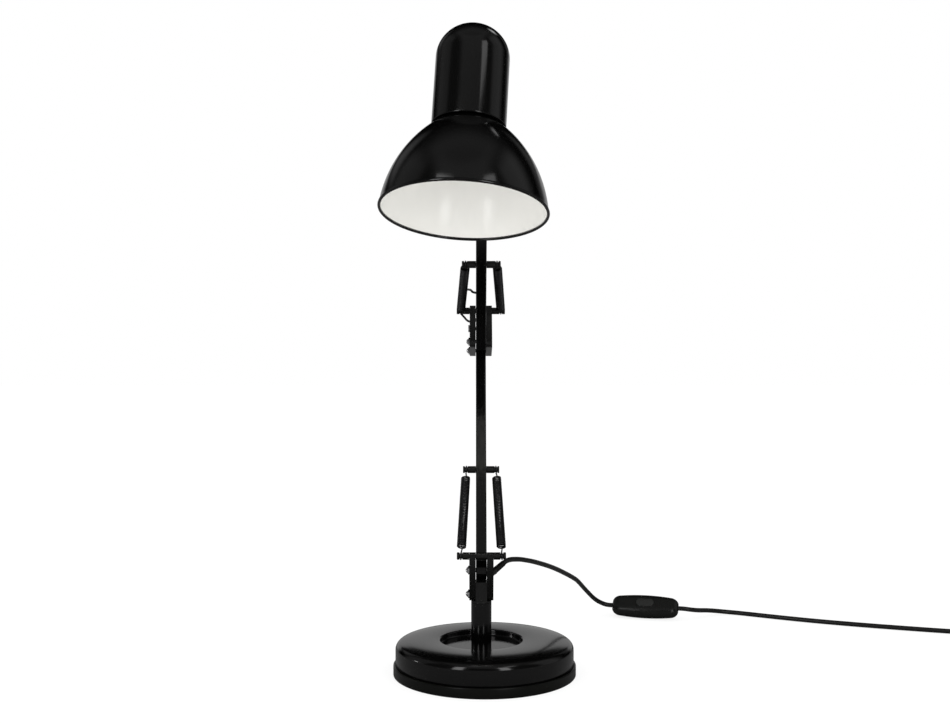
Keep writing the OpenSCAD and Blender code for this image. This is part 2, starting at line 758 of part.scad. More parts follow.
// Cap that covers the lamp holder, open below, with a hole for the lead
module cap_housing() color("#0c0c0c") head_place() difference() {
    rotate_extrude($fn = 96) polygon(concat([[cap_in, cap_low], [cap_r, cap_low]],
        [for (a = [0:7.5:90]) [cap_r * cos(a), cap_shoulder + dome_h * sin(a)]],
        [for (a = [90:-7.5:0]) [cap_in * cos(a), cap_shoulder + (dome_h - shade_t) * sin(a)]]));
    translate([0, 0, lead_hole]) rotate([-90, 0, 0]) rod(grommet_r, 0, cap_d);
    for (z = [-rivet_z, rivet_z]) translate([0, 0, tilt_h + z]) rotate([-90, 0, 0])
        rod(rivet_r + fit, 0, cap_d);
}

// Gives the bell's outer line, or its inner line when drawn in by a sheet
function bell_line(inset) = [for (i = [0:12]) let (a = bell_low + (bell_high - bell_low) * i / 12)
    [mouth_r - bell_r * (cos(bell_low) - cos(a)) - inset * cos(a),
        bell_r * (sin(a) - sin(bell_low)) - inset * sin(a)]];

// Bell shade with a rolled bead round its mouth and a flat top held by the holder
module bell_shade() color("#0c0c0c") head_place() {
    rotate_extrude($fn = 128) polygon(concat([[mouth_r - shade_t, bead_r]],
        [for (p = bell_line(0)) if (p[1] > bead_r) p],
        [[bell_neck - bell_fold, bell_top + 1], [holder_hole, bell_top + 1],
            [holder_hole, bell_top + 1 - shade_t],
            [bell_neck - bell_fold - shade_t, bell_top + 1 - shade_t]],
        [for (i = [12:-1:0]) if (bell_line(shade_t)[i][1] > bead_r) bell_line(shade_t)[i]]));
    rotate_extrude($fn = 128) translate([mouth_r - 0.6, bead_r]) circle(r = bead_r, $fn = 16);
}

// Bracket on the back of the cap: a saddle and two ears for the tilt bolt
module cap_bracket() color("#131313") head_place() difference() {
    union() {
        intersection() {
            tube(cap_r + saddle_t, cap_r + fit, tilt_h - saddle_half, tilt_h + saddle_half);
            translate([-saddle_side, 0, tilt_h - cap_r]) cube([2 * saddle_side, cap_d, cap_d]);
        }
        for (side = [-1, 1]) translate([side * (ear_in + ear_t / 2), 0, tilt_h]) {
            translate([-ear_t / 2, cap_r + 1, -ear_r]) cube([ear_t, tilt_back - cap_r - 1, 2 * ear_r]);
            translate([0, tilt_back, 0]) rotate([0, 90, 0]) rod(ear_r, -ear_t / 2, ear_t / 2);
        }
    }
    translate([0, tilt_back, tilt_h]) rotate([0, 90, 0]) rod(bolt_r + fit, -20, 20);
    for (z = [-rivet_z, rivet_z]) translate([0, 0, tilt_h + z]) rotate([-90, 0, 0])
        rod(rivet_r + fit, 0, cap_d);
}

module bracket_rivets() color("#8a8a8a") head_place()
    for (z = [-rivet_z, rivet_z]) translate([0, 0, tilt_h + z]) rotate([-90, 0, 0]) {
        rod(rivet_r, cap_in - 0.4, cap_r + saddle_t);
        rod(rivet_r + 1, cap_r + saddle_t, cap_r + saddle_t + 1.2);
        rod(rivet_r + 1, cap_in - 1.6, cap_in - 0.4);
    }

// Bolt that the head tilts on
module tilt_bolt() color("#9a9a9a") head_place() translate([0, tilt_back, tilt_h])
    rotate([0, 90, 0]) {
        rod(bolt_r, -ear_out - wing_hub - 2.4, ear_out);
        rod(head_r, ear_out, ear_out + 3);
    }

// Wing nut that clamps the tilt
module wing_nut() color("#1a1a18") head_place() translate([0, tilt_back, tilt_h])
    rotate([0, 90, 0]) difference() {
        union() {
            rod(wing_hub_r, -ear_out - wing_hub, -ear_out);
            for (side = [-1, 1]) hull() {
                translate([side * (wing_hub_r - 1), -1.2, -ear_out - wing_hub]) cube([0.4, 2.4, 4]);
                translate([side * (wing_hub_r + 2.4), 0, -ear_out - wing_hub - 1.5])
                    rotate([90, 0, 0]) cylinder(r = 2, h = 2, center = true, $fn = 24);
            }
        }
        rod(bolt_r + fit, -ear_out - 2 * wing_hub, 0);
    }

// Lamp holder: a moulded body with a threaded skirt below the shade's top
module holder_body() color("#161616") head_place() difference() {
    union() {
        rod(holder_r, holder_low, holder_top);
        rod(cap_in - fit, bell_top + 1, bell_top + 4);
    }
    rod(shell_r + shell_t + fit, holder_low - 1, holder_low + holder_bore);
    rod(2, holder_low, holder_top + 1);
}

// Ring that clamps the shade against the holder
module holder_ring() color("#161616") head_place()
    tube(holder_hole + 4, holder_r + fit, bell_top - 5, bell_top + 1 - shade_t - fit);

// Brass screw shell and the centre contact above it
module holder_contacts() color("#c9a24a") head_place() {
    tube(shell_r + shell_t, shell_r, holder_low + 3, holder_low + 30);
    rod(contact_r, holder_low + holder_bore - 3, holder_low + holder_bore);
}

module cap_grommet() color("#1c1c1a") head_place() translate([0, 0, lead_hole])
    rotate([-90, 0, 0]) {
        seat_r = cap_r_at(lead_hole);
        rod(grommet_r - fit, seat_r - shade_t - 1, seat_r);
        rod(grommet_r + 1.2, seat_r, seat_r + 2.5);
    }

// Lead from the stud's collar up to the grommet in the cap
head_route = [[0, 7, -9.7], [0, 7, -8], [0, 7.8, -3], [0, 9.3, 2], [0, 9.7, 7], [0, 8, 11],
    [0, 4.8, 13.4], [0, 0.9, 14.7], [0, -1.1, 15.2], [0, -2.9, 15.7]];

module head_lead() color("#181818") yoke_place()
    swept_tube(spline(head_route, 2), lead_d / 2, 8, [1, 0, 0]);

module cord_lead() color("#1c1c1a") swept_tube(spline(lead_route, 2), cord_r, 8);

// Puts a part of the switch, drawn flat on its own middle, where it lies
module switch_place() translate(switch_mid) rotate([0, 0, switch_turn])
    rotate([switch_roll, 0, 0]) children();

// Rounded body of the switch
module switch_form(shrink = 0) hull() for (x = [-1, 1], y = [-1, 1])
    translate([x * (switch_l - switch_t) / 2, y * (switch_w - switch_t) / 2, 0])
        sphere(r = switch_t / 2 - shrink, $fn = 24);

// Half of the switch's shell, with a hole for the cord at each end
module switch_half(low, high) difference() {
    intersection() {
        switch_form();
        translate([-switch_l, -switch_w, low]) cube([2 * switch_l, 2 * switch_w, high - low]);
    }
    switch_form(switch_wall);
    rotate([0, 90, 0]) rod(cord_r + fit, -switch_l, switch_l);
}

// Long round ended outline of the rocker, or of its opening when grown
module rocker_outline(length, width) for (x = [-1, 1]) {
    translate([x * (length - width) / 2, 0]) circle(d = width);
    square([length - width, width], center = true);
}

module switch_base() color("#1c1c1a") switch_place() switch_half(-switch_t, 0);

module switch_cover() color("#1c1c1a") switch_place() difference() {
    switch_half(0, switch_t);
    linear_extrude(switch_t) rocker_outline(rocker_l + 1.2, rocker_w + 0.6);
    rocker_pivot(rocker_pin_r + fit, rocker_reach + 0.2);
}

// Pin across the middle of the rocker, or its hole in the cover when grown
module rocker_pivot(r, reach) translate([0, 0, rocker_pin]) rotate([90, 0, 0]) rod(r, -reach, reach);

// Rocker of the switch, with an arched top and the pin that it tips on
module switch_rocker() color("#222220") switch_place() {
    intersection() {
        translate([0, 0, rocker_pin - 2]) linear_extrude(switch_t) rocker_outline(rocker_l, rocker_w);
        translate([0, 0, rocker_high - rocker_round]) rotate([90, 0, 0])
            cylinder(r = rocker_round, h = switch_w, center = true, $fn = 96);
    }
    rocker_pivot(rocker_pin_r, rocker_reach);
}

module cord_tail() color("#1c1c1a") swept_tube(spline(tail_route, 2), cord_r, 8);

// Points of the coiled cord: in on the lower layer, up, and out on the upper one
function coil_point(turn) =
    let (up = max(0, min(1, (turn - coil_turns) / 0.5)),
        r = turn < coil_turns ? coil_out - turn * coil_step
            : turn < coil_turns + 0.5 ? coil_in
            : coil_in + (turn - coil_turns - 0.5) * coil_step)
    coil_mid + [r * sin(360 * turn), r * cos(360 * turn),
        coil_z + coil_step * (3 - 2 * up) * up * up];

coil_end = coil_point(2 * coil_turns + 0.5);
plug_start = [coil_end[0] - 26, coil_end[1], plug_t / 2];
coil_path = concat([coil_start - [cord_d, 0, 0]],
    [for (i = [0:coil_ring * (2 * coil_turns + 0.5)]) coil_point(i / coil_ring)],
    [coil_end + [-8, 0, -0.5], coil_end + [-15, 0, -1.7], plug_start + [cord_d, 0, 0], plug_start]);

module cord_coil() color("#1c1c1a") swept_tube(coil_path, cord_r, 6);

// Strap that holds the coil together
module coil_tie() color("#2c2c2c") translate([coil_mid[0], coil_mid[1], 0]) {
    low = coil_z - cord_r - seat;
    high = coil_z + coil_step + cord_r + seat;
    difference() {
        translate([coil_in - cord_r - seat - tie_t, -tie_w / 2, low - tie_t])
            cube([coil_out - coil_in + cord_d + 2 * (seat + tie_t), tie_w, high - low + 2 * tie_t]);
        translate([coil_in - cord_r - seat, -tie_w, low])
            cube([coil_out - coil_in + cord_d + 2 * seat, 2 * tie_w, high - low]);
    }
}

// Puts a part of the plug, drawn with the cord coming in at its origin, where it lies
module plug_place() translate(plug_start) rotate([0, 0, 180]) children();

// Two pin plug with a tapered strain relief
module plug_body() color("#1c1c1a") plug_place() {
    rotate([0, 90, 0]) cylinder(r1 = cord_r + 0.5, r2 = relief_r, h = relief_l);
    hull() {
        translate([relief_l, 0, 0]) cube([0.1, plug_neck[0], plug_neck[1]], center = true);
        translate([plug_l - plug_taper, 0, 0]) cube([0.1, plug_w, plug_t], center = true);
        translate([plug_l, 0, 0]) cube([0.1, plug_w, plug_t - 2], center = true);
    }
}

module plug_pins() color("#c9c9c9") plug_place() for (y = [-1, 1])
    translate([plug_l + 0.05, y * plug_pitch / 2, 0]) rotate([0, 90, 0]) {
        cylinder(r = prong_r, h = pin_len - 1);
        translate([0, 0, pin_len - 1]) cylinder(r1 = prong_r, r2 = prong_r / 2, h = 1);
    }

echo(lead = route_length(spline(lead_route, 2)), tail = route_length(spline(tail_route, 2)),
    coil = route_length(coil_path));
lower_spring_l = norm(lower_hook_at(1) - [turret_groove, turret_hook[0], turret_hook[1]]);
upper_spring_l = norm(upper_hook_at(1) - [elbow_groove, elbow_hook[0], elbow_hook[1]]);
echo(lower_gap = least_gap(spring_path(lower_spring_l, lower_reach), wire_d, 5),
    upper_gap = least_gap(spring_path(upper_spring_l, upper_reach), wire_d, 5),
    coil_gap = least_gap(coil_path, cord_d, 12));
echo(pivots = [pivot_a, pivot_b, pivot_c, pivot_d, pivot_e, pivot_f, pivot_g, pivot_h]);

base_cover();
base_rim();
base_weight();
base_pad();
post_tube();
post_nut();
swivel_bushes();
swivel_pin();
turret_plate_left();
turret_plate_right();
turret_bolts();
turret_anchor();
cord_gland();
lower_front_bar();
lower_front_bushes();
lower_crossbar();
lower_lead();
lower_rear_bar();
lower_rear_bushes();
lower_spring_left();
lower_spring_right();
elbow_plate_left();
elbow_plate_right();
elbow_bolts();
elbow_anchor();
elbow_lead();
upper_front_bar();
upper_front_bushes();
upper_crossbar();
upper_lead();
upper_rear_bar();
upper_rear_bushes();
upper_spring_left();
upper_spring_right();
head_plate_left();
head_plate_right();
head_bolts();
head_socket();
head_stud();
stud_clip();
cap_housing();
bell_shade();
cap_bracket();
bracket_rivets();
tilt_bolt();
wing_nut();
holder_body();
holder_ring();
holder_contacts();
cap_grommet();
head_lead();
cord_lead();
switch_base();
switch_cover();
switch_rocker();
cord_tail();
cord_coil();
coil_tie();
plug_body();
plug_pins();
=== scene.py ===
import math

import bmesh
import bpy
from mathutils import Matrix, Vector


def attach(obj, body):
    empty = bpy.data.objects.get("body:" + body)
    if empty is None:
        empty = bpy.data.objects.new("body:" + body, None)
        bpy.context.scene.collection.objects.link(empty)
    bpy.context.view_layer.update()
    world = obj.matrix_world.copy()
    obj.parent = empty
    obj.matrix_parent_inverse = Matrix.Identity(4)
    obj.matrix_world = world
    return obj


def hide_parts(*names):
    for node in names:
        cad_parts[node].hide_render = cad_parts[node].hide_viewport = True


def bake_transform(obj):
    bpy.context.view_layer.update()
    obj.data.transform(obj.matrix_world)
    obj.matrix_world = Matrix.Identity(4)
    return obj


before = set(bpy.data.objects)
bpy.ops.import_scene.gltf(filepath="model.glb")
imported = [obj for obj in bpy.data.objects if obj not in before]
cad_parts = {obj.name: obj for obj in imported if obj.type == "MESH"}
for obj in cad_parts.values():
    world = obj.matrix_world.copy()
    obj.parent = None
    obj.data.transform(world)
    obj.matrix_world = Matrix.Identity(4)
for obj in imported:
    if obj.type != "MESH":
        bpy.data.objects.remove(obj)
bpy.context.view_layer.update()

scene = bpy.context.scene
scene.view_settings.view_transform = "Standard"
mm = 0.001
print("frame loaded:", len(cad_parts), "nodes")


# Camera, as the photograph was taken: level, a little above the middle of the lamp
photoCamera = {"place": (-5.9, -1100, 300.5), "lens": 44.64, "sensor": 36, "shiftUp": -0.01158, "clipEnd": 50}


def makeCamera(values):
    data = bpy.data.cameras.new("photoCamera")
    data.sensor_width = values["sensor"]
    data.lens = values["lens"]
    data.shift_y = values["shiftUp"]
    data.clip_end = values["clipEnd"]
    made = bpy.data.objects.new("photoCamera", data)
    made.location = Vector(values["place"]) * mm
    made.rotation_euler = (math.pi / 2, 0, 0)
    scene.collection.objects.link(made)
    scene.camera = made


makeCamera(photoCamera)


# A socket of a finish, which takes part in sums
class Value:

    def __init__(self, finish, socket):
        self.finish = finish
        self.socket = socket

    def maths(self, operation, first, second):
        return self.finish.node("ShaderNodeMath", {"operation": operation}, {0: first, 1: second})

    def __add__(self, other):
        return self.maths("ADD", self, other)

    def __radd__(self, other):
        return self.maths("ADD", other, self)

    def __sub__(self, other):
        return self.maths("SUBTRACT", self, other)

    def __rsub__(self, other):
        return self.maths("SUBTRACT", other, self)

    def __mul__(self, other):
        return self.maths("MULTIPLY", self, other)

    def __rmul__(self, other):
        return self.maths("MULTIPLY", other, self)


def grey(level):
    return (level, level, level, 1)


def tint(colour, share=1):
    return (*[part * share for part in colour], 1)


# A material or world under construction
class Finish:

    def __init__(self, owner):
        owner.use_nodes = True
        self.owner = owner
        self.tree = owner.node_tree
        self.tree.nodes.clear()

    def node(self, kind, settings=None, sockets=None, output=0):
        made = self.tree.nodes.new(kind)
        for key, value in (settings or {}).items():
            if key == "stops":
                ramp = made.color_ramp
                while len(ramp.elements) < len(value):
                    ramp.elements.new(0.5)
                for element, (position, level) in zip(ramp.elements, value):
                    element.position = position
                    element.color = grey(level)
            else:
                setattr(made, key, value)
        for key, value in (sockets or {}).items():
            if isinstance(value, Value):
                self.tree.links.new(value.socket, made.inputs[key])
            else:
                made.inputs[key].default_value = value
        return Value(self, made.outputs[output]) if made.outputs else None

    def mixColour(self, share, first, second):
        return self.node("ShaderNodeMix", {"data_type": "RGBA"}, {0: share, 6: first, 7: second}, 2)

    # Noise that stays with the piece
    def noise(self, scale, detail=2):
        where = self.node("ShaderNodeTexCoord", output="Object")
        return self.node("ShaderNodeTexNoise", None, {"Vector": where, "Scale": scale, "Detail": detail})

    def ramp(self, value, stops):
        return self.node("ShaderNodeValToRGB", {"stops": stops}, {"Fac": value})

    # Rises smoothly from 0 to 1 as a value goes from one limit to the other, whichever is higher
    def soft(self, value, start, end):
        return self.node("ShaderNodeMapRange", {"interpolation_type": "SMOOTHSTEP"},
                         {"Value": value, "From Min": start, "From Max": end})

    def bump(self, height, strength, distance):
        return self.node("ShaderNodeBump", None,
                         {"Height": height, "Strength": strength, "Distance": distance * mm})

    # The kinds of ray that see, mirror and pass through
    def rays(self):
        kinds = ("Is Camera Ray", "Is Glossy Ray", "Is Transmission Ray")
        return [self.node("ShaderNodeLightPath", output=kind) for kind in kinds]

    def surface(self, **sockets):
        names = {key.replace("_", " "): value for key, value in sockets.items()}
        shader = self.node("ShaderNodeBsdfPrincipled", None, names)
        self.node("ShaderNodeOutputMaterial", None, {"Surface": shader})
        return self.owner


def newFinish(name):
    return Finish(bpy.data.materials.new(name))


# Gloss enamel on the shade, cap, base, post and arm tubes
def glossEnamel(name):
    f = newFinish(name)
    level, rough = 0.0008, 0.09
    cloud = f.noise(14, 3)
    peel = f.noise(520)
    speck = f.ramp(f.noise(900, 0), [(0.0, 0.0), (0.72, 0.0), (0.78, 1.0), (1.0, 1.0)])
    colour = f.mixColour(cloud, grey(level * 0.8), tint((1.25, 1.22, 1.15), level))
    return f.surface(Base_Color=f.mixColour(speck * 0.12, colour, grey(0.01)),
                     Roughness=rough + cloud * 0.06 + speck * 0.08,
                     Normal=f.bump(peel, 0.05, 0.12))


# Satin paint of the rim, the spring bars and the plates
def satinPaint(name, colour=(0.0016, 0.0017, 0.0014), rough=0.34, gloss=0.5):
    f = newFinish(name)
    grain = f.noise(1500)
    cloud = f.noise(20, 3)
    return f.surface(Base_Color=f.mixColour(cloud, tint(colour, 0.75), tint(colour, 1.3)),
                     Roughness=rough - 0.05 + cloud * 0.1, Specular_IOR_Level=gloss,
                     Normal=f.bump(grain, 0.12, 0.08))


# White enamel inside the shade
def whiteEnamel(name):
    f = newFinish(name)
    cloud = f.noise(18, 3)
    peel = f.noise(480)
    return f.surface(Base_Color=f.mixColour(cloud, tint((0.87, 0.862, 0.825)), tint((0.9, 0.893, 0.86))),
                     Roughness=0.13 + cloud * 0.06, Normal=f.bump(peel, 0.04, 0.12))


def metal(name, colour, rough):
    f = newFinish(name)
    grain = f.noise(700, 3)
    stain = f.noise(60, 3)
    return f.surface(Base_Color=f.mixColour(stain, tint(colour, 0.9), tint(colour)), Metallic=1.0,
                     Roughness=rough + grain * 0.12 - 0.04, Normal=f.bump(grain, 0.08, 0.05))


def plastic(name, colour, rough, grain=1400, depth=0.12):
    f = newFinish(name)
    fine = f.noise(grain)
    cloud = f.noise(40, 3)
    return f.surface(Base_Color=f.mixColour(cloud, tint(colour, 0.86), tint(colour, 1.12)),
                     Roughness=rough - 0.04 + cloud * 0.08, Normal=f.bump(fine, depth, 0.08))


def castIron(name):
    f = newFinish(name)
    lumps = f.noise(260, 4)
    return f.surface(Base_Color=f.mixColour(lumps, grey(0.03), tint((0.075, 0.07, 0.066))), Metallic=0.6,
                     Roughness=0.55 + lumps * 0.25, Normal=f.bump(lumps, 0.5, 0.5))


finishes = {
    "gloss": glossEnamel("glossBlackEnamel"),
    "tube": glossEnamel("tubeEnamel"),
    "satin": satinPaint("satinBlackPaint"),
    "rim": satinPaint("rimPaint", (0.0016, 0.0018, 0.0012), 0.3, 0.25),
    "plate": satinPaint("platePaint", (0.004, 0.004, 0.0038), 0.22),
    "white": whiteEnamel("whiteEnamel"),
    "cast": castIron("castIron"),
    "pad": plastic("padRubber", (0.02, 0.02, 0.02), 0.8, 900, 0.4),
    "steel": metal("zincSteel", (0.5, 0.5, 0.51), 0.3),
    "bright": metal("brightNickel", (0.86, 0.86, 0.87), 0.12),
    "wire": metal("blackenedWire", (0.055, 0.055, 0.057), 0.3),
    "bush": plastic("bushPlastic", (0.0025, 0.0025, 0.0025), 0.4),
    "black": plastic("blackPlastic", (0.0018, 0.002, 0.0014), 0.28, 1700, 0.16),
    "rocker": plastic("rockerPlastic", (0.015, 0.0155, 0.0145), 0.22, 1700, 0.06),
    "holder": plastic("holderPlastic", (0.0025, 0.0025, 0.0025), 0.3, 900, 0.05),
    "brass": metal("contactBrass", (0.78, 0.55, 0.25), 0.2),
    "sheath": plastic("cordSheath", (0.0035, 0.0035, 0.0032), 0.36, 1200, 0.1),
    "lead": plastic("leadSheath", (0.003, 0.003, 0.003), 0.36, 1200, 0.08),
    "tie": plastic("tiePlastic", (0.02, 0.02, 0.02), 0.4, 1200, 0.1),
}
print("finishes made:", len(finishes))


def place(made, body, replaced=(), finish=()):
    scene.collection.objects.link(made)
    for item in finish:
        made.data.materials.append(finishes[item])
    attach(made, body)
    if replaced:
        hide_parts(*replaced)
    return made


# Places a piece that bends between two bodies, with its two ends in millimetres; it is baked where it lies
# and attached to neither body
def placeBending(made, replaced, finish):
    scene.collection.objects.link(made)
    made.data.materials.append(finishes[finish])
    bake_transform(made)
    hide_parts(replaced)


# Turns a bmesh, drawn in millimetres, into a piece in its place
def toPiece(name, bm, body, replaced=(), finish=("gloss",), where=Matrix.Identity(4)):
    bmesh.ops.remove_doubles(bm, verts=bm.verts, dist=0.001)
    bmesh.ops.recalc_face_normals(bm, faces=bm.faces)
    bm.transform(Matrix.Scale(mm, 4) @ where)
    mesh = bpy.data.meshes.new(name)
    bm.to_mesh(mesh)
    bm.free()
    for face in mesh.polygons:
        face.use_smooth = True
    return place(bpy.data.objects.new(name, mesh), body, replaced, finish)


# Marks as sharp the edges where faces meet at more than some degrees
def keepEdges(piece, degrees):
    for edge in piece.data.edges:
        edge.use_edge_sharp = False
    piece.data.set_sharp_from_angle(angle=math.radians(degrees))


# Gives a drawn sheet its wall, set in from the surface or centred on it
def addWall(piece, thick, offset):
    wall = piece.modifiers.new("sheet", "SOLIDIFY")
    wall.thickness = thick * mm
    wall.offset = offset
    return wall


# Points of one rib or thread, repeated up a profile, each a step higher and wider by what it grows
def ribbed(values, radius):
    return [(radius + i * values["grow"] + out, values["from"] + i * values["step"] + up)
            for i in range(values["count"]) for out, up in values["rib"]]


# Points of an arc in a profile, between two angles in degrees
def arc(x, z, r, start, end, count):
    angles = [math.radians(start + (end - start) * i / count) for i in range(count + 1)]
    return [(x + r * math.cos(a), z + r * math.sin(a)) for a in angles]


# Turns a profile of (radius, height) points round an upright axis
def lathe(bm, profile, steps, centre=(0, 0), closed=False):
    verts = [bm.verts.new((centre[0] + r, centre[1], z)) for r, z in profile]
    edges = [bm.edges.new(pair) for pair in zip(verts, verts[1:])]
    if closed:
        edges.append(bm.edges.new((verts[-1], verts[0])))
    bmesh.ops.spin(bm, geom=verts + edges, cent=(*centre, 0), axis=(0, 0, 1),
                   angle=2 * math.pi, steps=steps, use_merge=True)


def movedVerts(result):
    return [v for v in result["geom"] if isinstance(v, bmesh.types.BMVert)]


# A tube along points, as one open curve
def tubeCurve(name, points, radius, sides=3, resolution=4):
    data = bpy.data.curves.new(name, "CURVE")
    data.dimensions = "3D"
    data.bevel_depth = radius * mm
    data.bevel_resolution = sides
    data.use_fill_caps = True
    data.resolution_u = resolution
    line = data.splines.new("BEZIER")
    line.bezier_points.add(len(points) - 1)
    for knot, point in zip(line.bezier_points, points):
        knot.co = Vector(point) * mm
        knot.handle_left_type = "AUTO"
        knot.handle_right_type = "AUTO"
    return bpy.data.objects.new(name, data)


# The same tube as a mesh, for a piece that bends with the lamp or is turned into its place
def tubeMesh(name, points, radius, sides, resolution):
    drawn = tubeCurve(name + "Line", points, radius, sides, resolution)
    scene.collection.objects.link(drawn)
    bpy.context.view_layer.update()
    mesh = bpy.data.meshes.new_from_object(drawn.evaluated_get(bpy.context.evaluated_depsgraph_get()))
    bpy.data.objects.remove(drawn)
    for face in mesh.polygons:
        face.use_smooth = True
    return bpy.data.objects.new(name, mesh)


# Mains cord, along the route that the solids follow
mainsCord = {
    "radius": 2.5,
    "lead": [(21.6, 44, 94.4), (25.2, 49.1, 96), (34, 61.5, 95.2), (47, 80.5, 90.6), (60.5, 102, 83.8),
             (75.5, 128, 74.6), (90, 156, 63.6), (97.9, 172, 57), (105.5, 188, 49.8), (114.9, 210, 37.4),
             (122.5, 223.5, 27.9), (129.2, 232.8, 20.4), (136.5, 238.6, 15), (144.6, 239.9, 11.9),
             (153.3, 237.7, 11.9)],
    "tail": [(219.3, 221.3, 11.9), (228, 219.1, 11.9), (236.5, 219.6, 10.7), (245.6, 225, 8.9),
             (255, 233, 7.1), (265.8, 239.8, 5.1), (278.2, 242.3, 3.5), (292, 240.5, 2.6), (308, 232, 2.6),
             (328, 221, 2.6), (350, 209.5, 2.6), (374, 198, 2.6), (400, 187, 2.6), (427, 176.5, 2.6),
             (455, 166.5, 2.6), (483, 157, 2.6), (510, 148.5, 2.7), (531, 142.5, 3), (545, 138.2, 3.4),
             (555, 135.8, 3.7)],
    "coil": {"start": (567, 135.2), "turns": 2.5, "perTurn": 16, "climb": 0.5, "inner": 22, "step": 6.3,
             "low": 3.7},
    "leave": [(-8, 0, -0.5), (-15, 0, -1.7)],
    "plug": (541, 59.7, 7),
    "beforePlug": 5,
}


# Winds inwards on the table, climbs one layer, and winds outwards over the first turns
def coilPoints(values):
    turns, climb, step = values["turns"], values["climb"], values["step"]
    perTurn = values["perTurn"]
    outer = values["inner"] + turns * step
    middle = (values["start"][0], values["start"][1] - outer)
    points = []
    for i in range(int(perTurn * (2 * turns + climb)) + 1):
        turn = i / perTurn
        up = max(0, min(1, (turn - turns) / climb))
        r = values["inner"] + step * max(0, turns - turn, turn - turns - climb)
        angle = 2 * math.pi * turn
        points.append((middle[0] + r * math.sin(angle), middle[1] + r * math.cos(angle),
                       values["low"] + step * (3 - 2 * up) * up * up))
    return points


def makeMainsCord(values):
    lead = tubeCurve("mainsLead", values["lead"], values["radius"])
    place(lead, "turret", ["cord_lead"], ["sheath"])
    wound = coilPoints(values["coil"])
    leaving = [Vector(wound[-1]) + Vector(step) for step in values["leave"]]
    plugEnd = Vector(values["plug"])
    points = values["tail"] + wound + leaving + [plugEnd + Vector((values["beforePlug"], 0, 0)), plugEnd]
    tail = tubeCurve("mainsTail", points, values["radius"])
    place(tail, "turret", ["cord_tail", "cord_coil"], ["sheath"])
    return lead, tail


mainsLead, mainsTail = makeMainsCord(mainsCord)
print("mains cord laid")


# Head: the cap, the bell and what they hold, drawn upright with the mouth at height 0
headPose = {"studY": -90.2455, "tiltHeight": 515.2, "turn": -13, "tilt": -14, "back": 40, "height": 117.118}


def yokeMatrix(values):
    return (Matrix.Translation((0, values["studY"], values["tiltHeight"]))
            @ Matrix.Rotation(math.radians(values["turn"]), 4, "Z"))


def headMatrix(values):
    return (yokeMatrix(values) @ Matrix.Rotation(math.radians(values["tilt"]), 4, "X")
            @ Matrix.Translation((0, -values["back"], -values["height"])))


inHead = headMatrix(headPose)
inYoke = yokeMatrix(headPose)

bell = {"mouth": 68.5, "lip": 0.6, "bend": 106.881, "low": 5.5, "high": 51.6, "rings": 28, "sheet": 1.0,
        "rise": 1, "fold": [(0.7, 0.35), (2.2, 0)], "crownRing": 25, "hole": 20.5,
        "bead": 1.3, "beadSides": 12, "steps": 128}


def makeBell(values):
    bm = bmesh.new()
    mouth, bend = values["mouth"], values["bend"]
    low = math.radians(values["low"])
    line = arc(mouth - bend * math.cos(low), -bend * math.sin(low), bend, values["low"], values["high"],
               values["rings"])
    neck, top = line[-1][0], line[-1][1] + values["rise"]
    line[0] = (mouth, values["lip"])
    line += [(neck - inwards, top - down) for inwards, down in values["fold"]]
    line += [(values["crownRing"], top), (values["hole"], top)]
    lathe(bm, line, values["steps"])
    piece = toPiece("bellShade", bm, "head", ["bell_shade"], ["gloss", "white"], inHead)
    wall = addWall(piece, values["sheet"], -1)
    wall.material_offset = 1
    wall.material_offset_rim = 0
    keepEdges(piece, 50)
    bm = bmesh.new()
    bead, sides = values["bead"], values["beadSides"]
    line = arc(mouth - values["lip"], bead, bead, 0, 360 - 360 / sides, sides - 1)
    lathe(bm, line, values["steps"], closed=True)
    toPiece("bellBead", bm, "head", (), ["gloss"], inHead)


makeBell(bell)

cap = {"radius": 30.75, "low": 74.118, "hem": 1, "wallRing": 12, "shoulder": 135.118, "dome": 29,
       "sheet": 1.0}


def makeCap(values):
    bm = bmesh.new()
    radius, low = values["radius"], values["low"]
    line = [(radius, low), (radius, low + values["hem"])]
    line += [(radius, low + values["wallRing"] * i) for i in range(1, 5)]
    dome = [math.radians(a) for a in range(0, 91, 5)]
    line += [(radius * math.cos(a), values["shoulder"] + values["dome"] * math.sin(a)) for a in dome]
    lathe(bm, line, 96)
    piece = toPiece("capShell", bm, "head", ["cap_housing"], ["gloss"], inHead)
    addWall(piece, values["sheet"], -1)
    keepEdges(piece, 60)


makeCap(cap)

# Lamp holder, drawn with its lower end at height 0
holder = {"low": 60.618, "radius": 19.5, "height": 60, "bore": 14.4, "boreTop": 40, "wireHole": 2.2,
          "edge": 0.8, "skirt": 10, "flange": 29.6, "flangeLow": 13.95, "flangeHigh": 16.8,
          "thread": {"rib": [(-0.5, 0), (0, 0.4), (0, 0.8), (-0.5, 1.2)], "count": 5, "from": 1.6,
                     "step": 1.5, "grow": 0}}
contacts = {"shell": 13.3, "thick": 0.9, "low": 3, "high": 30, "wave": 0.25, "waveStep": 0.6,
            "wavePoints": 43, "button": (5, 4.2, 2.4), "buttonMiddle": 38.7}
clampRing = {"outline": [(19.6, 8), (23.8, 8), (24.5, 8.7), (24.5, 12.2), (23.8, 12.8), (19.6, 12.8)],
             "gripMiddle": 10.4, "gripRadius": 24, "gripWide": 0.35, "gripDeep": 0.6}


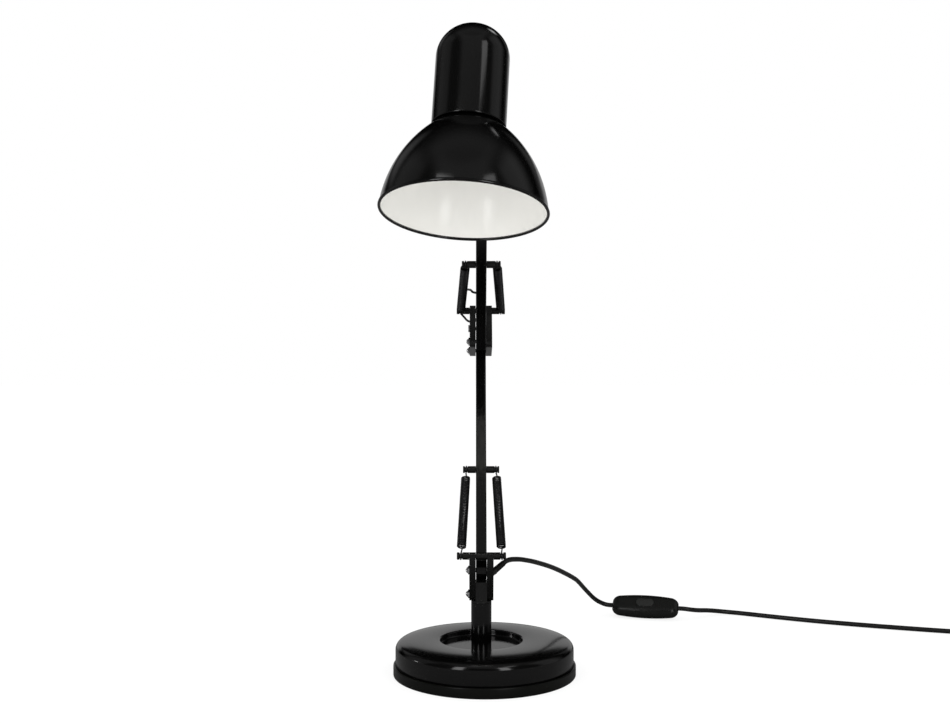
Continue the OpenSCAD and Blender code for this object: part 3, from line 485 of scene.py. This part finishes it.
def makeHolder(values, here):
    bm = bmesh.new()
    r, bore, edge = values["radius"], values["bore"], values["edge"]
    top, boreTop = values["height"], values["boreTop"]
    deep = -values["thread"]["rib"][0][0]
    low, high = values["flangeLow"], values["flangeHigh"]
    line = [(bore, boreTop - 0.5), (bore, edge), (bore + 0.6, 0), (r - 1.2, 0), (r - deep, 0.7)]
    line += ribbed(values["thread"], r)  # the clamping ring turns on this thread
    line += [(r, values["skirt"]), (r, low - 0.05), (values["flange"], low), (values["flange"], high)]
    line += [(r, high + 0.1), (r, top - 0.6), (r - edge, top)]
    line += [(values["wireHole"], top), (values["wireHole"], boreTop), (bore, boreTop)]
    lathe(bm, line, 64, closed=True)
    keepEdges(toPiece("holderBody", bm, "head", ["holder_body"], ["holder"], here), 40)


def makeContacts(values, here):
    bm = bmesh.new()
    inner, outer = values["shell"] + 0.1, values["shell"] + values["thick"]
    wave, step = values["wave"], values["waveStep"]
    line = [(outer, values["low"]), (inner, values["low"])]
    for i in range(values["wavePoints"]):  # rolled thread that takes the bulb
        r = values["shell"] + wave - wave * math.cos(i * math.pi / 3)
        line.append((r, values["low"] + step * (i + 1)))
    line += [(inner, values["high"]), (outer, values["high"])]
    lathe(bm, line, 64, closed=True)
    wide, narrow, tall = values["button"]
    bmesh.ops.create_cone(bm, cap_ends=True, segments=32, radius1=wide, radius2=narrow, depth=tall,
                          matrix=Matrix.Translation((0, 0, values["buttonMiddle"])))
    piece = toPiece("holderContacts", bm, "head", ["holder_contacts"], ["brass"], here)
    keepEdges(piece, 40)


def makeClampRing(values, here):
    bm = bmesh.new()
    lathe(bm, values["outline"], 72, closed=True)
    grip = []
    for face in bm.faces:
        middle = face.calc_center_median()
        if abs(middle.z - values["gripMiddle"]) < 1 and middle.xy.length > values["gripRadius"]:
            grip.append(face)
    bmesh.ops.inset_individual(bm, faces=grip[::3], thickness=values["gripWide"], depth=-values["gripDeep"])
    keepEdges(toPiece("holderRing", bm, "head", ["holder_ring"], ["holder"], here), 30)


inHolder = inHead @ Matrix.Translation((0, 0, holder["low"]))
makeHolder(holder, inHolder)
makeContacts(contacts, inHolder)
makeClampRing(clampRing, inHolder)
print("head made")

# Pressed cover of the base, whose middle is a little beside the post, and the flat rim under it
cover = {"shift": 3, "radius": 83, "height": 31.6, "steps": 128,
         "crown": [(55.5, 0), (59, 0.08), (63, 0.24), (67, 0.49), (70, 0.76), (73, 1.13), (75.5, 1.54)],
         "shoulder": 6.5, "shoulderFrom": 75, "shoulderDrop": 1.95, "wallRing": 12,
         "hemIn": 0.5, "hemUp": 0.7, "hemGap": 0.05,
         "recess": 38.5, "depth": 5.6, "edge": 1.3, "foot": 1.5, "floorRings": (6.2, 20, 33)}
rim = {"inner": 80, "outer": 85, "ledge": 7.4, "chamfer": 0.4, "soft": 0.6, "lip": 1.0, "wallRing": 5,
       "inside": [(83.15, 1.9), (83.1, 1.3), (83.1, 0)]}


def makeCover(values, ledge):
    bm = bmesh.new()
    radius, top, shoulder = values["radius"], values["height"], values["shoulder"]
    start = values["shoulderFrom"]
    middle = top - values["shoulderDrop"] - shoulder * math.sin(math.radians(start))
    outer = [(r, top - drop) for r, drop in values["crown"]]
    outer += arc(radius - shoulder, middle, shoulder, start, 0, 14)
    outer += [(radius, top - values["wallRing"]), (radius, ledge + values["hemUp"])]
    outer.append((radius - values["hemIn"], ledge + values["hemGap"]))
    lathe(bm, outer, values["steps"], (values["shift"], 0))
    floor, recess = top - values["depth"], values["recess"]
    edge, foot = values["edge"], values["foot"]
    inner = [(r, floor) for r in values["floorRings"]]
    inner += arc(recess - foot, floor + foot, foot, -90, 0, 5)
    inner += arc(recess + edge, top - edge, edge, 180, 90, 7)
    lathe(bm, inner, values["steps"])
    bmesh.ops.remove_doubles(bm, verts=bm.verts, dist=0.001)
    flat = [e for e in bm.edges if e.is_boundary and all(abs(v.co.z - top) < 0.01 for v in e.verts)]
    bmesh.ops.bridge_loops(bm, edges=flat)
    keepEdges(toPiece("baseCover", bm, "base", ["base_cover"]), 60)


def makeRim(values, shift, steps):
    bm = bmesh.new()
    inner, outer, ledge = values["inner"], values["outer"], values["ledge"]
    soft, lip = values["soft"], values["lip"]
    line = [(inner, soft), (inner + values["chamfer"], 0)]
    line += arc(outer - soft, soft, soft, -90, 0, 4) + [(outer, values["wallRing"])]
    line += arc(outer - lip, ledge + lip, lip, 0, 90, 7)
    line += [(r, ledge + up) for r, up in values["inside"]] + [(inner, ledge)]
    lathe(bm, line, steps, (shift, 0), True)
    keepEdges(toPiece("baseRim", bm, "base", ["base_rim"], ["rim"]), 50)


makeCover(cover, rim["ledge"])
makeRim(rim, cover["shift"], cover["steps"])
print("base made")

# Arms: the pivot that each stands on, as (y, height), and its lean from upright in degrees
arms = {"lower": {"pivot": (-4, 96.7), "lean": 25, "length": 250},
        "upper": {"pivot": (73.6546, 309.7769), "lean": -42, "length": 230}}


# Directions along an arm and square to it, in the plane that it moves in
def armDirections(arm):
    lean = math.radians(arm["lean"])
    along = Vector((0, math.sin(lean), math.cos(lean)))
    across = Vector((0, math.cos(lean), -math.sin(lean)))
    return along, across


springs = {
    "radius": 3.8, "wire": 0.7, "hook": 3.15, "hookStart": -80, "hookStep": 27.5, "hookPoints": 13,
    "curls": 44, "perCurl": 16, "ease": 0.9,
    "lower": {"anchor": (-18, 112.2), "spread": 18.8, "reach": 98.5, "groove": 14.4, "shank": 9.5,
              "bodies": ("turret", "lower_arm")},
    "upper": {"anchor": (98.0546, 341.2769), "spread": 20.3, "reach": 97, "groove": 14.9, "shank": 7,
              "bodies": ("elbow", "upper_arm")},
}


# Close wound spring with a hook round a groove at each end
def springPoints(start, end, shank, values):
    along = (end - start).normalized()
    length = (end - start).length
    side = (Vector((1, 0, 0)) - along * along.x).normalized()
    across = along.cross(side)
    angles = [math.radians(values["hookStart"] + values["hookStep"] * i) for i in range(values["hookPoints"])]
    hook = [(0, -values["hook"] * math.sin(a), -values["hook"] * math.cos(a)) for a in angles]
    bends = [(0, 0.6, values["hook"] + values["ease"]), (0.9, 0.3, shank - values["ease"])]
    count = values["curls"] * values["perCurl"]
    coil = []
    for i in range(count + 1):
        a = 2 * math.pi * i / values["perCurl"]
        coil.append((values["radius"] * math.cos(a), values["radius"] * math.sin(a),
                     shank + (length - 2 * shank) * i / count))
    far = [(a, b, length - c) for a, b, c in reversed(hook + bends)]
    return [start + side * a + across * b + along * c for a, b, c in hook + bends + coil + far]


def makeSprings(values):
    for side, name in ((-1, "left"), (1, "right")):
        for part in ("lower", "upper"):
            item, arm = values[part], arms[part]
            top = Vector((0, *arm["pivot"])) + armDirections(arm)[0] * item["reach"]
            start = Vector((side * item["spread"], *item["anchor"]))
            end = Vector((side * item["groove"], top.y, top.z))
            made = tubeMesh(f"{part}Spring{name.title()}", springPoints(start, end, item["shank"], values),
                            values["wire"], 2, 1)
            placeBending(made, f"{part}_spring_{name}", "wire")


makeSprings(springs)
print("springs wound")

# Thin lead: its free loops at the elbow and, as seen from the yoke, at the head, and its lengths in the tubes
leads = {
    "radius": 1.1, "inset": 14, "offset": 3,
    "elbow": [(-5.1, 31.5, 356.4), (-7.5, 33, 357), (-9, 42, 358.6), (-10, 52, 360), (-11.6, 62, 361),
              (-14, 71, 361.4), (-17.4, 80, 360.2), (-20.6, 89, 356.6), (-22.6, 97.5, 350.8),
              (-22.6, 104, 344.5), (-20.2, 107.2, 339), (-16.8, 107, 335), (-13.6, 105.4, 331.6),
              (-11.2, 104.7, 330.6), (-8.6, 104.6, 330.6)],
    "head": [(0, 7, -9.7), (0, 7, -8), (0, 7.8, -3), (0, 9.3, 2), (0, 9.7, 7), (0, 8, 11), (0, 4.8, 13.4),
             (0, 0.9, 14.7), (0, -1.1, 15.2), (0, -2.9, 15.7)],
}


def makeLeads(values):
    elbow = values["elbow"]  # from the arm back to the elbow
    made = tubeMesh("elbowLead", elbow, values["radius"], 3, 6)
    placeBending(made, "elbow_lead", "lead")
    head = [inYoke @ Vector(point) for point in values["head"]]
    made = tubeMesh("headLead", head, values["radius"], 3, 6)
    placeBending(made, "head_lead", "lead")
    for part, arm in arms.items():
        along, across = armDirections(arm)
        heights = (values["inset"], arm["length"] / 2, arm["length"] - values["inset"])
        points = [Vector((0, *arm["pivot"])) + across * values["offset"] + along * z for z in heights]
        made = tubeMesh(part + "Lead", points, values["radius"], 3, 4)
        place(made, part + "_arm", [part + "_lead"], ["lead"])


makeLeads(leads)
print("leads laid")

switch = {"middle": (186.3, 229.5, 11.9), "turn": -14, "roll": 40, "length": 74, "width": 28, "thick": 16,
          "ringStep": 7, "sideRing": 4, "seam": 0.18, "drawn": 0.24, "drawnUp": 0.144}
rocker = {"length": 20, "width": 11, "foot": 4, "proud": 1.0, "edge": 1.0, "dish": 0.54, "dishFrom": 6,
          "lip": 0.55, "lipSink": 0.25, "lipGap": 0.9, "lipLonger": 0.3}


def switchMatrix(values):
    return (Matrix.Translation(values["middle"]) @ Matrix.Rotation(math.radians(values["turn"]), 4, "Z")
            @ Matrix.Rotation(math.radians(values["roll"]), 4, "X"))


def cutAcross(bm, where, way, clear=False):
    bmesh.ops.bisect_plane(bm, geom=bm.verts[:] + bm.edges[:] + bm.faces[:], dist=0.0001,
                           plane_co=where, plane_no=way, clear_inner=clear)


# Rounded shell of the switch, cut to its upper or lower half
def switchShell(bm, values, side):
    length, thick, step = values["length"], values["thick"], values["ringStep"]
    bmesh.ops.create_cube(bm, size=1)
    bmesh.ops.scale(bm, vec=(length, values["width"], thick), verts=bm.verts)
    bmesh.ops.bevel(bm, geom=bm.edges[:], offset=thick / 2 - 0.1, affect="EDGES", segments=10, profile=0.5,
                    material=-1)
    for x in range(-4 * step, 4 * step + 1, step):
        cutAcross(bm, (x, 0, 0), (1, 0, 0))
    for y in (-values["sideRing"], 0, values["sideRing"]):
        cutAcross(bm, (0, y, 0), (0, 1, 0))
    cutAcross(bm, (0, 0, side * values["seam"]), (0, 0, side), True)
    for vert in bm.verts:  # drawn in towards the ends
        share = (2 * vert.co.x / length) ** 2
        vert.co.y *= 1 - values["drawn"] * share
        vert.co.z *= 1 - values["drawnUp"] * share
    bmesh.ops.contextual_create(bm, geom=[e for e in bm.edges if e.is_boundary])


# Two half circles with straight sides between them
def stadium(bm, length, width, filled):
    bmesh.ops.create_circle(bm, cap_ends=filled, segments=48, radius=width / 2)
    for vert in bm.verts:
        if abs(vert.co.x) > 0.001:
            vert.co.x += math.copysign((length - width) / 2, vert.co.x)


def makeSwitchShells(values, here):
    for side, name, node in ((1, "switchCover", "switch_cover"), (-1, "switchBase", "switch_base")):
        bm = bmesh.new()
        switchShell(bm, values, side)
        keepEdges(toPiece(name, bm, "turret", [node], ["black"], here), 40)


# Raised lip on the cover, round the rocker
def makeSwitchLip(values, height, here):
    bm = bmesh.new()
    gap, longer = values["lipGap"], values["lipLonger"]
    stadium(bm, values["length"] + 2 * (gap + longer), values["width"] + 2 * gap, False)
    points = [(v.co.x, v.co.y, height - values["lipSink"]) for v in bm.verts]
    bm.free()
    made = tubeMesh("switchLip", points + points[:1], values["lip"], 2, 2)
    made.data.transform(Matrix.Scale(mm, 4) @ here @ Matrix.Scale(1 / mm, 4))
    place(made, "turret", (), ["black"])


def makeSwitchRocker(values, height, here):
    bm = bmesh.new()
    low, top = values["foot"], height + values["proud"]
    stadium(bm, values["length"], values["width"], True)
    bmesh.ops.translate(bm, verts=bm.verts, vec=(0, 0, low))
    raised = bmesh.ops.extrude_face_region(bm, geom=bm.faces[:])
    bmesh.ops.translate(bm, verts=movedVerts(raised), vec=(0, 0, top - low))
    upper = [e for e in bm.edges if all(abs(v.co.z - top) < 0.001 for v in e.verts) and e.is_manifold
             and any(abs(f.normal.z) < 0.5 for f in e.link_faces)]
    bmesh.ops.bevel(bm, geom=upper, offset=values["edge"], affect="EDGES", segments=3, profile=0.5,
                    material=-1)
    for vert in bm.verts:  # dished along its length
        if vert.co.z > values["dishFrom"]:
            vert.co.z -= values["dish"] * math.cos(vert.co.x / values["length"] * math.pi)
    toPiece("switchRocker", bm, "rocker", ["switch_rocker"], ["rocker"], here)


inSwitch = switchMatrix(switch)
makeSwitchShells(switch, inSwitch)
makeSwitchLip(rocker, switch["thick"] / 2, inSwitch)
makeSwitchRocker(rocker, switch["thick"] / 2, inSwitch)
print("switch made")

plug = {"length": 52, "width": 25, "thick": 14, "neckWidth": 11, "neckThick": 10, "swell": 0.5,
        "nose": 0.93, "noseFrom": 0.9, "edge": 2.2,
        "relief": 20, "reliefBore": 2.55, "reliefRadius": 3.2, "reliefEnd": 5,
        "ribs": {"rib": [(0, 0), (0.1, 1.7), (-0.8, 1.9), (-0.75, 2.8)], "count": 6, "from": 1.4,
                 "step": 3, "grow": 0.32},
        "pitch": 19, "pin": 2, "pinTip": 1.4, "pinLength": 19, "sleeve": 10, "sleeveThick": 0.12}


# Ribbed strain relief of the plug
def makePlugRelief(values, here):
    bm = bmesh.new()
    bore, end = values["reliefBore"], values["relief"]
    line = [(bore, 0), (bore + 0.55, 0.1)] + ribbed(values["ribs"], values["reliefRadius"])
    line += [(values["reliefEnd"], end), (bore, end)]
    lathe(bm, line, 32, closed=True)
    keepEdges(toPiece("plugRelief", bm, "turret", (), ["black"], here), 35)


# Body of the plug, which swells from its neck and narrows a little at its nose
def makePlugBody(values, here):
    bm = bmesh.new()
    bmesh.ops.create_cube(bm, size=1)
    bmesh.ops.subdivide_edges(bm, edges=bm.edges[:], cuts=3, use_grid_fill=True)
    start = values["relief"] - 0.2
    neckWidth, neckThick = values["neckWidth"], values["neckThick"]
    for vert in bm.verts:
        share = vert.co.x + 0.5
        grow = min(1, share / values["swell"])
        grow = grow * grow * (3 - 2 * grow)
        vert.co.y *= neckWidth + (values["width"] - neckWidth) * grow
        vert.co.z *= neckThick + (values["thick"] - neckThick) * grow
        if share > values["noseFrom"]:
            vert.co.z *= values["nose"]
        vert.co.x = start + share * (values["length"] - start)
    outline = [e for e in bm.edges if e.calc_face_angle(0) > 0.9]
    bmesh.ops.bevel(bm, geom=outline, offset=values["edge"], affect="EDGES", segments=4, profile=0.5,
                    material=-1, clamp_overlap=True)
    toPiece("plugBody", bm, "turret", ["plug_body"], ["black"], here)


# A profile turned twice, once for each pin
def pinPair(values, line):
    bm = bmesh.new()
    for side in (-0.5, 0.5):
        lathe(bm, line, 24, (side * values["pitch"], 0))
    for vert in bm.verts:
        vert.co.x, vert.co.y = vert.co.y, vert.co.x
    return bm


def makePlugPins(values, here):
    r, tip = values["pin"], values["pinTip"]
    low = values["length"] + 0.05
    high = low + values["pinLength"]
    line = [(0, low), (r, low)] + arc(r - tip, high - tip, tip, 0, 90, 4) + [(0, high)]
    pins = pinPair(values, line)
    keepEdges(toPiece("plugPins", pins, "turret", ["plug_pins"], ["bright"], here), 50)
    low = values["length"] + 0.1
    high = low + values["sleeve"]
    inner, outer = r + 0.02, r + values["sleeveThick"]
    sleeves = pinPair(values, [(inner, low), (outer, low + 0.1), (outer, high - 0.2), (inner, high)])
    toPiece("plugSleeves", sleeves, "turret", (), ["black"], here)


inPlug = Matrix.Translation(mainsCord["plug"]) @ Matrix.Rotation(math.pi, 4, "Z")
alongPlug = inPlug @ Matrix.Rotation(math.pi / 2, 4, "Y")
makePlugRelief(plug, alongPlug)
makePlugBody(plug, inPlug)
makePlugPins(plug, alongPlug)
print("plug made")

coilTie = {"middle": (567, 97.45), "inner": 18.3, "outer": 41.4, "low": 0.6, "high": 13, "wide": 5,
           "square": 0.45, "strap": 0.9, "edge": 0.3}


# Strap round one side of the coil, a squared ring drawn flat and given its width
def makeTie(values):
    bm = bmesh.new()
    bmesh.ops.create_circle(bm, segments=40, radius=1)
    long, tall = (values["outer"] - values["inner"]) / 2, (values["high"] - values["low"]) / 2
    for vert in bm.verts:
        x, z = [math.copysign(abs(part) ** values["square"], part) for part in vert.co.xy]
        vert.co = (values["inner"] + long + long * x, -values["wide"] / 2, values["low"] + tall + tall * z)
    drawn = bmesh.ops.extrude_edge_only(bm, edges=bm.edges[:])
    bmesh.ops.translate(bm, verts=movedVerts(drawn), vec=(0, values["wide"], 0))
    here = Matrix.Translation((*values["middle"], 0))
    piece = toPiece("coilTie", bm, "turret", ["coil_tie"], ["tie"], here)
    addWall(piece, values["strap"], 0)
    soft = piece.modifiers.new("edges", "BEVEL")
    soft.width = values["edge"] * mm
    soft.segments = 2


makeTie(coilTie)

# Strain relief in the turret, up to where the cord leaves it
gland = {"from": (9.6, 27, 87.5), "bore": 2.3, "radius": 3.1, "collar": 0.25, "mouth": 2.8,
         "ribs": {"rib": [(-0.35, -0.5), (-0.35, 0), (0, 0.15), (-0.03, 1.2)], "count": 8, "from": 6.4,
                  "step": 1.9, "grow": -0.03}}


def makeGland(values):
    start = Vector(values["from"])
    line = Vector(mainsCord["lead"][0]) - start
    here = Matrix.Translation(start) @ line.to_track_quat("Z", "Y").to_matrix().to_4x4()
    bm = bmesh.new()
    radius, collar = values["radius"], values["radius"] + values["collar"]
    profile = [(values["bore"], -1), (radius, -1), (radius, 4.2), (collar, 4.5), (collar, 5.6)]
    profile += ribbed(values["ribs"], radius)
    profile += [(values["mouth"], line.length - 0.2), (values["bore"], line.length)]
    lathe(bm, profile, 36, closed=True)
    keepEdges(toPiece("cordGland", bm, "turret", ["cord_gland"], ["black"], here), 35)


makeGland(gland)

# Wing nut, drawn on an upright axis that is then laid along the tilt bolt
wingNut = {"near": 5.1, "hub": [(2.1, 0), (4.6, 0), (5, 0.4), (4.6, 5.6), (4, 7), (2.1, 7)],
           "wing": (4.6, 2.2, 5.2), "wingOut": 5.6, "wingUp": 6.2,
           "tipFrom": 5, "tipLift": 0.5, "tipSpread": 1.05}


def makeWingNut(values):
    onBolt = Matrix.Translation((0, headPose["back"], headPose["height"]))
    here = inHead @ onBolt @ Matrix.Rotation(-math.pi / 2, 4, "Y")
    near = values["near"]
    bm = bmesh.new()
    lathe(bm, [(r, near + z) for r, z in values["hub"]], 32, closed=True)
    keepEdges(toPiece("wingHub", bm, "wing_nut", ["wing_nut"], ["black"], here), 35)
    for side, name in ((-1, "wingLeft"), (1, "wingRight")):
        bm = bmesh.new()
        middle = Matrix.Translation((side * values["wingOut"], 0, near + values["wingUp"]))
        bmesh.ops.create_cube(bm, size=1, matrix=middle @ Matrix.Diagonal((*values["wing"], 1)))
        bmesh.ops.subdivide_edges(bm, edges=bm.edges[:], cuts=2, use_grid_fill=True)
        for vert in bm.verts:  # the tips stand up and are a little thicker
            out = abs(vert.co.x) - values["tipFrom"]
            if out > 0:
                vert.co.z += out * values["tipLift"]
                vert.co.y *= values["tipSpread"]
        piece = toPiece(name, bm, "wing_nut", (), ["black"], here)
        soft = piece.modifiers.new("round", "SUBSURF")
        soft.levels = 2
        soft.render_levels = 2


makeWingNut(wingNut)
print("small pieces made")

# Finishes of the solids that stay
carried = {
    "tube": ["lower_front_bar", "lower_rear_bar", "upper_front_bar", "upper_rear_bar"],
    "gloss": ["post_tube"],
    "satin": ["turret_anchor", "elbow_anchor", "lower_crossbar", "upper_crossbar", "cap_bracket"],
    "plate": ["turret_plate_left", "turret_plate_right", "elbow_plate_left", "elbow_plate_right",
              "head_plate_left", "head_plate_right", "head_socket", "swivel_pin"],
    "cast": ["base_weight"],
    "pad": ["base_pad"],
    "steel": ["post_nut", "head_stud", "stud_clip", "tilt_bolt", "bracket_rivets"],
    "bright": ["turret_bolts", "elbow_bolts", "head_bolts"],
    "bush": ["swivel_bushes", "lower_front_bushes", "lower_rear_bushes", "upper_front_bushes",
             "upper_rear_bushes"],
    "black": ["cap_grommet"],
}


def finishSolids(groups):
    for finish, names in groups.items():
        for name in names:
            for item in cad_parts[name].material_slots:
                item.material = finishes[finish]


finishSolids(carried)
print("solids finished")


print("cords and solids in place")

# Plain studio: a white floor and surroundings, and the soft panels that the gloss shows
studioFloor = {"size": 9, "paint": 0.88, "paintInGloss": 0.17,
               "glow": 1.07, "glowShare": 0.75, "glowShareInGloss": 0.02}


def makeFloor(values):
    bm = bmesh.new()
    bmesh.ops.create_grid(bm, x_segments=1, y_segments=1, size=values["size"])
    mesh = bpy.data.meshes.new("floor")
    bm.to_mesh(mesh)
    bm.free()
    made = bpy.data.objects.new("floor", mesh)
    scene.collection.objects.link(made)
    f = newFinish("studioFloor")
    seen, mirrored, through = f.rays()
    colour = f.mixColour(mirrored, grey(values["paint"]), grey(values["paint"] * values["paintInGloss"]))
    paint = f.node("ShaderNodeBsdfDiffuse", None, {"Color": colour})
    glow = f.node("ShaderNodeEmission", None, {"Color": grey(1), "Strength": values["glow"]})
    share = (seen + through) * values["glowShare"] + mirrored * values["glowShareInGloss"]
    mixed = f.node("ShaderNodeMixShader", None, {0: share, 1: paint, 2: glow})
    f.node("ShaderNodeOutputMaterial", None, {"Surface": mixed})
    mesh.materials.append(f.owner)


surroundings = {
    "white": 1.0,
    "fill": 1.08,
    # Each panel has its brightness and its soft edges, each from dark to light along one direction
    "panels": {
        "before": (0.045, [("y", 0.6, 0.2)]),
        "above": (0.126, [("z", 0.45, 0.7), ("y", 0.35, -0.05), ("aside", 0.62, 0.35)]),
        "aboveLow": (0.084, [("z", 0.45, 0.7), ("z", 0.95, 0.85), ("y", 0.35, -0.05), ("aside", 0.62, 0.35)]),
        "left": (0.13, [("x", -0.5, -0.7), ("y", -0.25, -0.05), ("y", 0.65, 0.35)]),
        "right": (0.25, [("x", 0.5, 0.7), ("y", -0.35, -0.15), ("y", 0.5, 0.15)]),
        "behind": (0.5, [("y", 0.75, 0.9), ("z", 0.34, 0.29)]),
        "leftCorner": (0.18, [("x", -0.3, -0.5), ("y", 0.5, 0.65), ("z", 0.3, 0.45)]),
        "rightCorner": (0.1, [("x", 0.3, 0.45), ("y", 0.6, 0.75), ("z", 0.15, 0.3)]),
    },
}


def makeWorld(values):
    world = bpy.data.worlds.new("studioWorld")
    scene.world = world
    f = Finish(world)
    seen, mirrored, through = f.rays()
    rest = 1 - seen - mirrored - through
    way = f.node("ShaderNodeTexCoord", output="Generated")  # the direction looked in
    parts = {axis: f.node("ShaderNodeSeparateXYZ", None, {0: way}, axis.upper()) for axis in ("x", "y", "z")}
    parts["aside"] = f.node("ShaderNodeMath", {"operation": "ABSOLUTE"}, {0: parts["x"]})
    panels = 0
    for level, edges in values["panels"].values():
        panel = level
        for axis, dark, light in edges:
            panel = panel * f.soft(parts[axis], dark, light)
        panels = panels + panel
    strength = (seen + through) * values["white"] + mirrored * panels + rest * values["fill"]
    light = f.node("ShaderNodeBackground", None, {"Color": grey(1), "Strength": strength})
    f.node("ShaderNodeOutputWorld", None, {"Surface": light})


lamps = [
    {"name": "keyBox", "place": (0.88, -1.05, 1.566), "aim": (-0.01, -0.13, 0.55),
     "size": (0.42, 0.3), "power": 0.64},
    {"name": "mouthBox", "place": (-0.13, -0.382, 0.652), "aim": (-0.02, -0.2, 0.44),
     "size": (0.12, 0.025), "power": 0.02},
    {"name": "lowBox", "place": (0.67, -1.44, 0.65), "aim": (-0.01, -0.1, 0.5),
     "size": (0.36, 1.25), "power": 4.4},
    {"name": "sideBox", "place": (-0.87, -1.33, 0.65), "aim": (-0.01, -0.1, 0.5),
     "size": (0.36, 1.25), "power": 4.4},
    {"name": "nutBox", "place": (-1.3, 0.1, 0.35), "aim": (0, 0, 0.235),
     "size": (0.12, 0.3), "power": 0.02, "spread": 16},
    {"name": "domeBox", "place": (0.058, -0.079, 0.65), "aim": (0.008, -0.141, 0.56),
     "size": (0.09, 0.04), "power": 0.00023, "spread": 16},
]


def makeLamps(values):
    for item in values:
        data = bpy.data.lights.new(item["name"], "AREA")
        data.shape = "RECTANGLE"
        data.size, data.size_y = item["size"]
        data.energy = item["power"]
        data.spread = math.radians(item.get("spread", 180))
        made = bpy.data.objects.new(item["name"], data)
        made.visible_camera = False
        made.location = item["place"]
        towards = Vector(item["aim"]) - Vector(item["place"])
        made.rotation_euler = towards.to_track_quat("-Z", "Y").to_euler()
        scene.collection.objects.link(made)


makeFloor(studioFloor)
makeWorld(surroundings)
makeLamps(lamps)
print("studio made")
